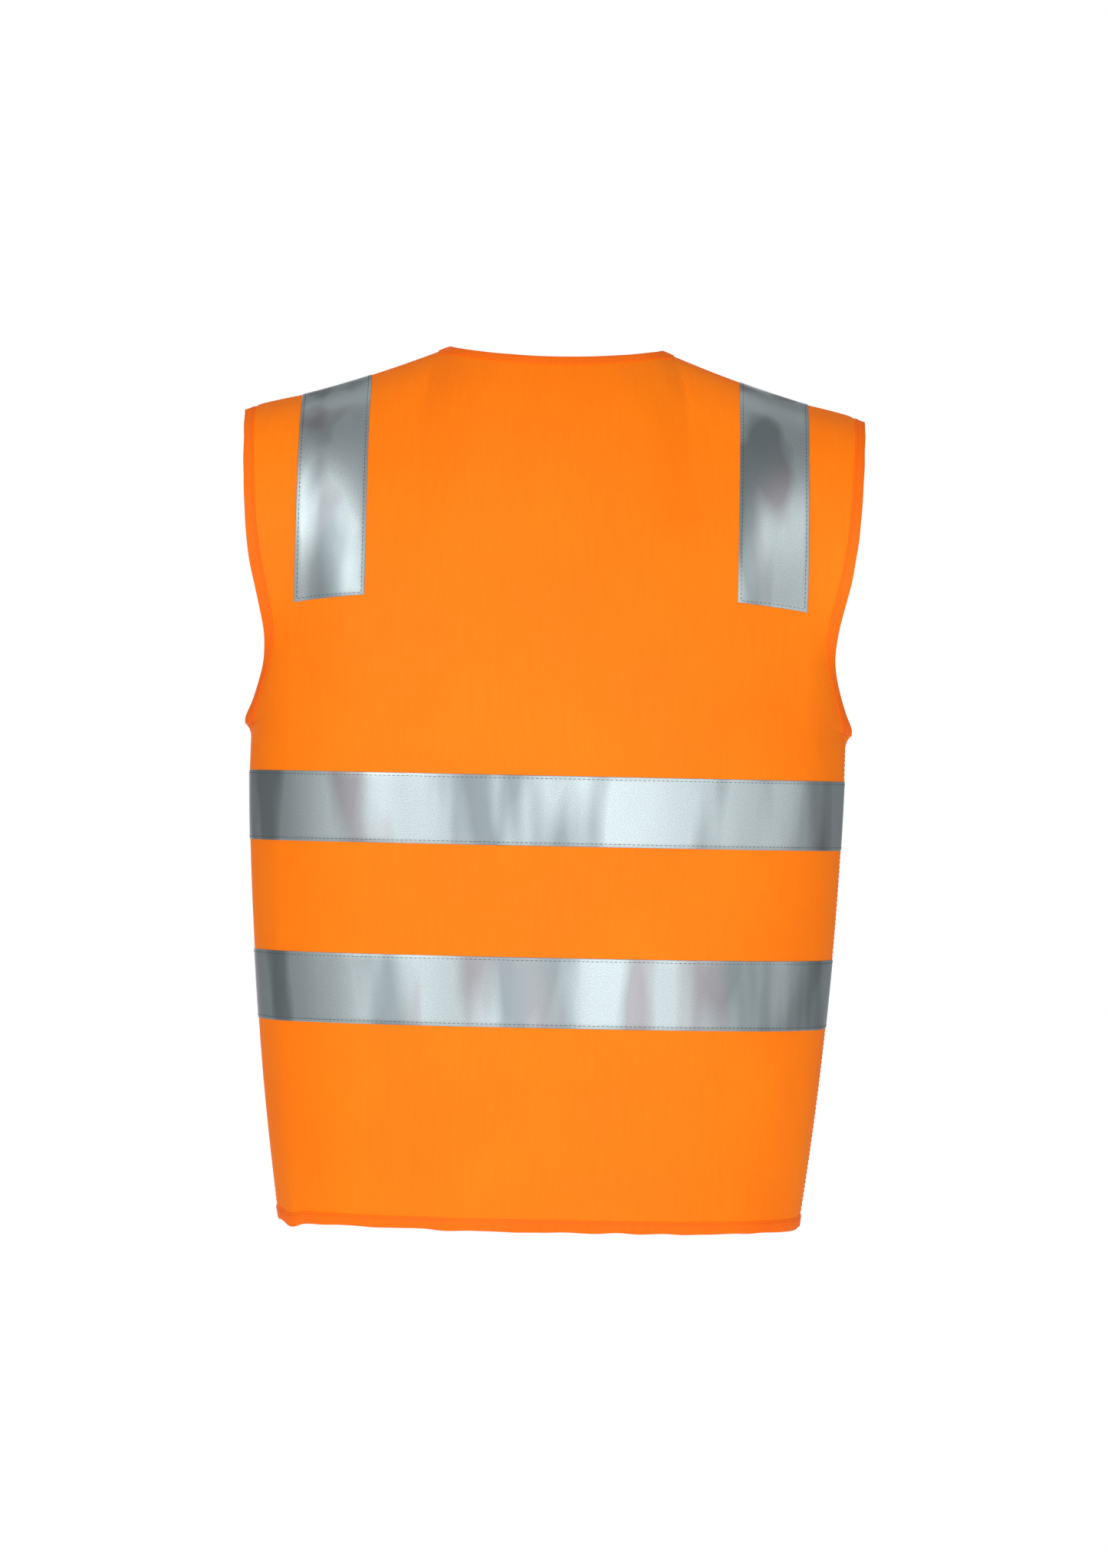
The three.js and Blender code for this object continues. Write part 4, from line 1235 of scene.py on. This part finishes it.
# ----------------------------------------
# What is cut from cloth
# ----------------------------------------
def flat_facts(cloth):
    """The cut's width, length and area, measured along the cloth."""
    p = cloth.p
    across_length = np.linalg.norm(np.diff(p, axis=1), axis=2).sum(1).max()
    up_length = np.linalg.norm(np.diff(p, axis=0), axis=2).sum(0).max()
    diagonal = p[1:, 1:] - p[:-1, :-1]
    other = p[1:, :-1] - p[:-1, 1:]
    area = np.linalg.norm(np.cross(diagonal, other), axis=2).sum() / 2
    return across_length * MM, up_length * MM, area * MM * MM


for body, pieces in PIECES.items():
    width, length, area = flat_facts(CLOTHS[body])
    print(body, "flat", round(width, 4), round(length, 4), round(area, 4))


# ----------------------------------------
# Floor, light and camera
# ----------------------------------------
FLOOR_RADIUS = 1500.0
FLOOR_CORNERS = 96
FLOOR_Z = -1090.0  # below the picture
MIDDLE = (0, 0, -0.3)  # what the lights face, in m
LIGHTS = (  # name, place in m, width and height in m, power in W
    ("behind", (-0.25, 2.2, -0.3), (0.7, 1.3), 9.5),
    ("front", (0.2, -2.2, -0.1), (1.5, 1.7), 21),
    ("strip_left", (1.2, 1.95, -0.3), (0.35, 1.3), 6.5),
    ("strip_right", (-1.15, 1.9, -0.3), (0.25, 1.3), 4),
    ("high_left", (1.2, 1.85, 0.75), (1.1, 0.9), 15),
    ("high_right", (-1.2, 1.85, 0.75), (0.9, 0.7), 6),
    ("side_left", (2.0, 0.9, -0.3), (0.5, 1.3), 1.2),
    ("side_right", (-2.0, 0.9, -0.3), (0.8, 1.3), 4),
    ("above", (0.0, -0.7, 1.9), (1.8, 1.2), 3),
)
CAMERA_PLACE = (-0.0048, 5.0, -0.315)  # behind the wearer, in m
CAMERA_LENS = 158
CAMERA_ROLL = math.radians(1.18)  # the vest leans a little in the picture


def floor():
    n = Nodes("floor")
    mottle = n.noise(n.places(), 3.0, 3.0)
    pale = n.mixed(mottle, (0.86, 0.86, 0.86, 1), (0.92, 0.92, 0.92, 1))
    n.set(Base_Color=pale, Roughness=0.9, Emission_Color=pale, Emission_Strength=0.3)
    around = [2 * math.pi * k / FLOOR_CORNERS for k in range(FLOOR_CORNERS)]
    corners = [(FLOOR_RADIUS * math.cos(a), FLOOR_RADIUS * math.sin(a), FLOOR_Z) for a in around]
    made = new_object("floor", corners, [tuple(range(FLOOR_CORNERS))], smooth=False)
    made.data.materials.append(n.material)


def light(name, at, size, power):
    data = bpy.data.lights.new(name, "AREA")
    data.shape = "RECTANGLE"
    data.size, data.size_y = size
    data.energy = power
    made = bpy.data.objects.new(name, data)
    made.location = at
    made.rotation_euler = (Vector(MIDDLE) - Vector(at)).to_track_quat("-Z", "Z").to_euler()
    bpy.context.scene.collection.objects.link(made)


def world():
    made = bpy.data.worlds.new("studio")
    made.use_nodes = True
    nodes, links = made.node_tree.nodes, made.node_tree.links
    path = nodes.new("ShaderNodeLightPath")
    mix = nodes.new("ShaderNodeMixShader")
    seen = nodes.new("ShaderNodeBackground")
    seen.inputs[0].default_value = (1, 1, 1, 1)
    room = nodes["Background"]
    room.inputs[0].default_value = (0.62, 0.62, 0.64, 1)
    room.inputs[1].default_value = 0.32
    links.new(path.outputs["Is Camera Ray"], mix.inputs[0])
    links.new(room.outputs[0], mix.inputs[1])
    links.new(seen.outputs[0], mix.inputs[2])
    links.new(mix.outputs[0], nodes["World Output"].inputs[0])
    bpy.context.scene.world = made


def camera():
    data = bpy.data.cameras.new("camera")
    data.lens = CAMERA_LENS
    data.sensor_width = 36
    made = bpy.data.objects.new("camera", data)
    made.location = CAMERA_PLACE
    made.rotation_mode = "QUATERNION"
    facing = Euler((math.pi / 2, 0, math.pi)).to_quaternion()
    made.rotation_quaternion = facing @ Quaternion((0, 0, 1), CAMERA_ROLL)
    bpy.context.scene.collection.objects.link(made)
    bpy.context.scene.camera = made


floor()
world()
for row in LIGHTS:
    light(*row)
camera()
bpy.context.scene.view_settings.view_transform = "Standard"
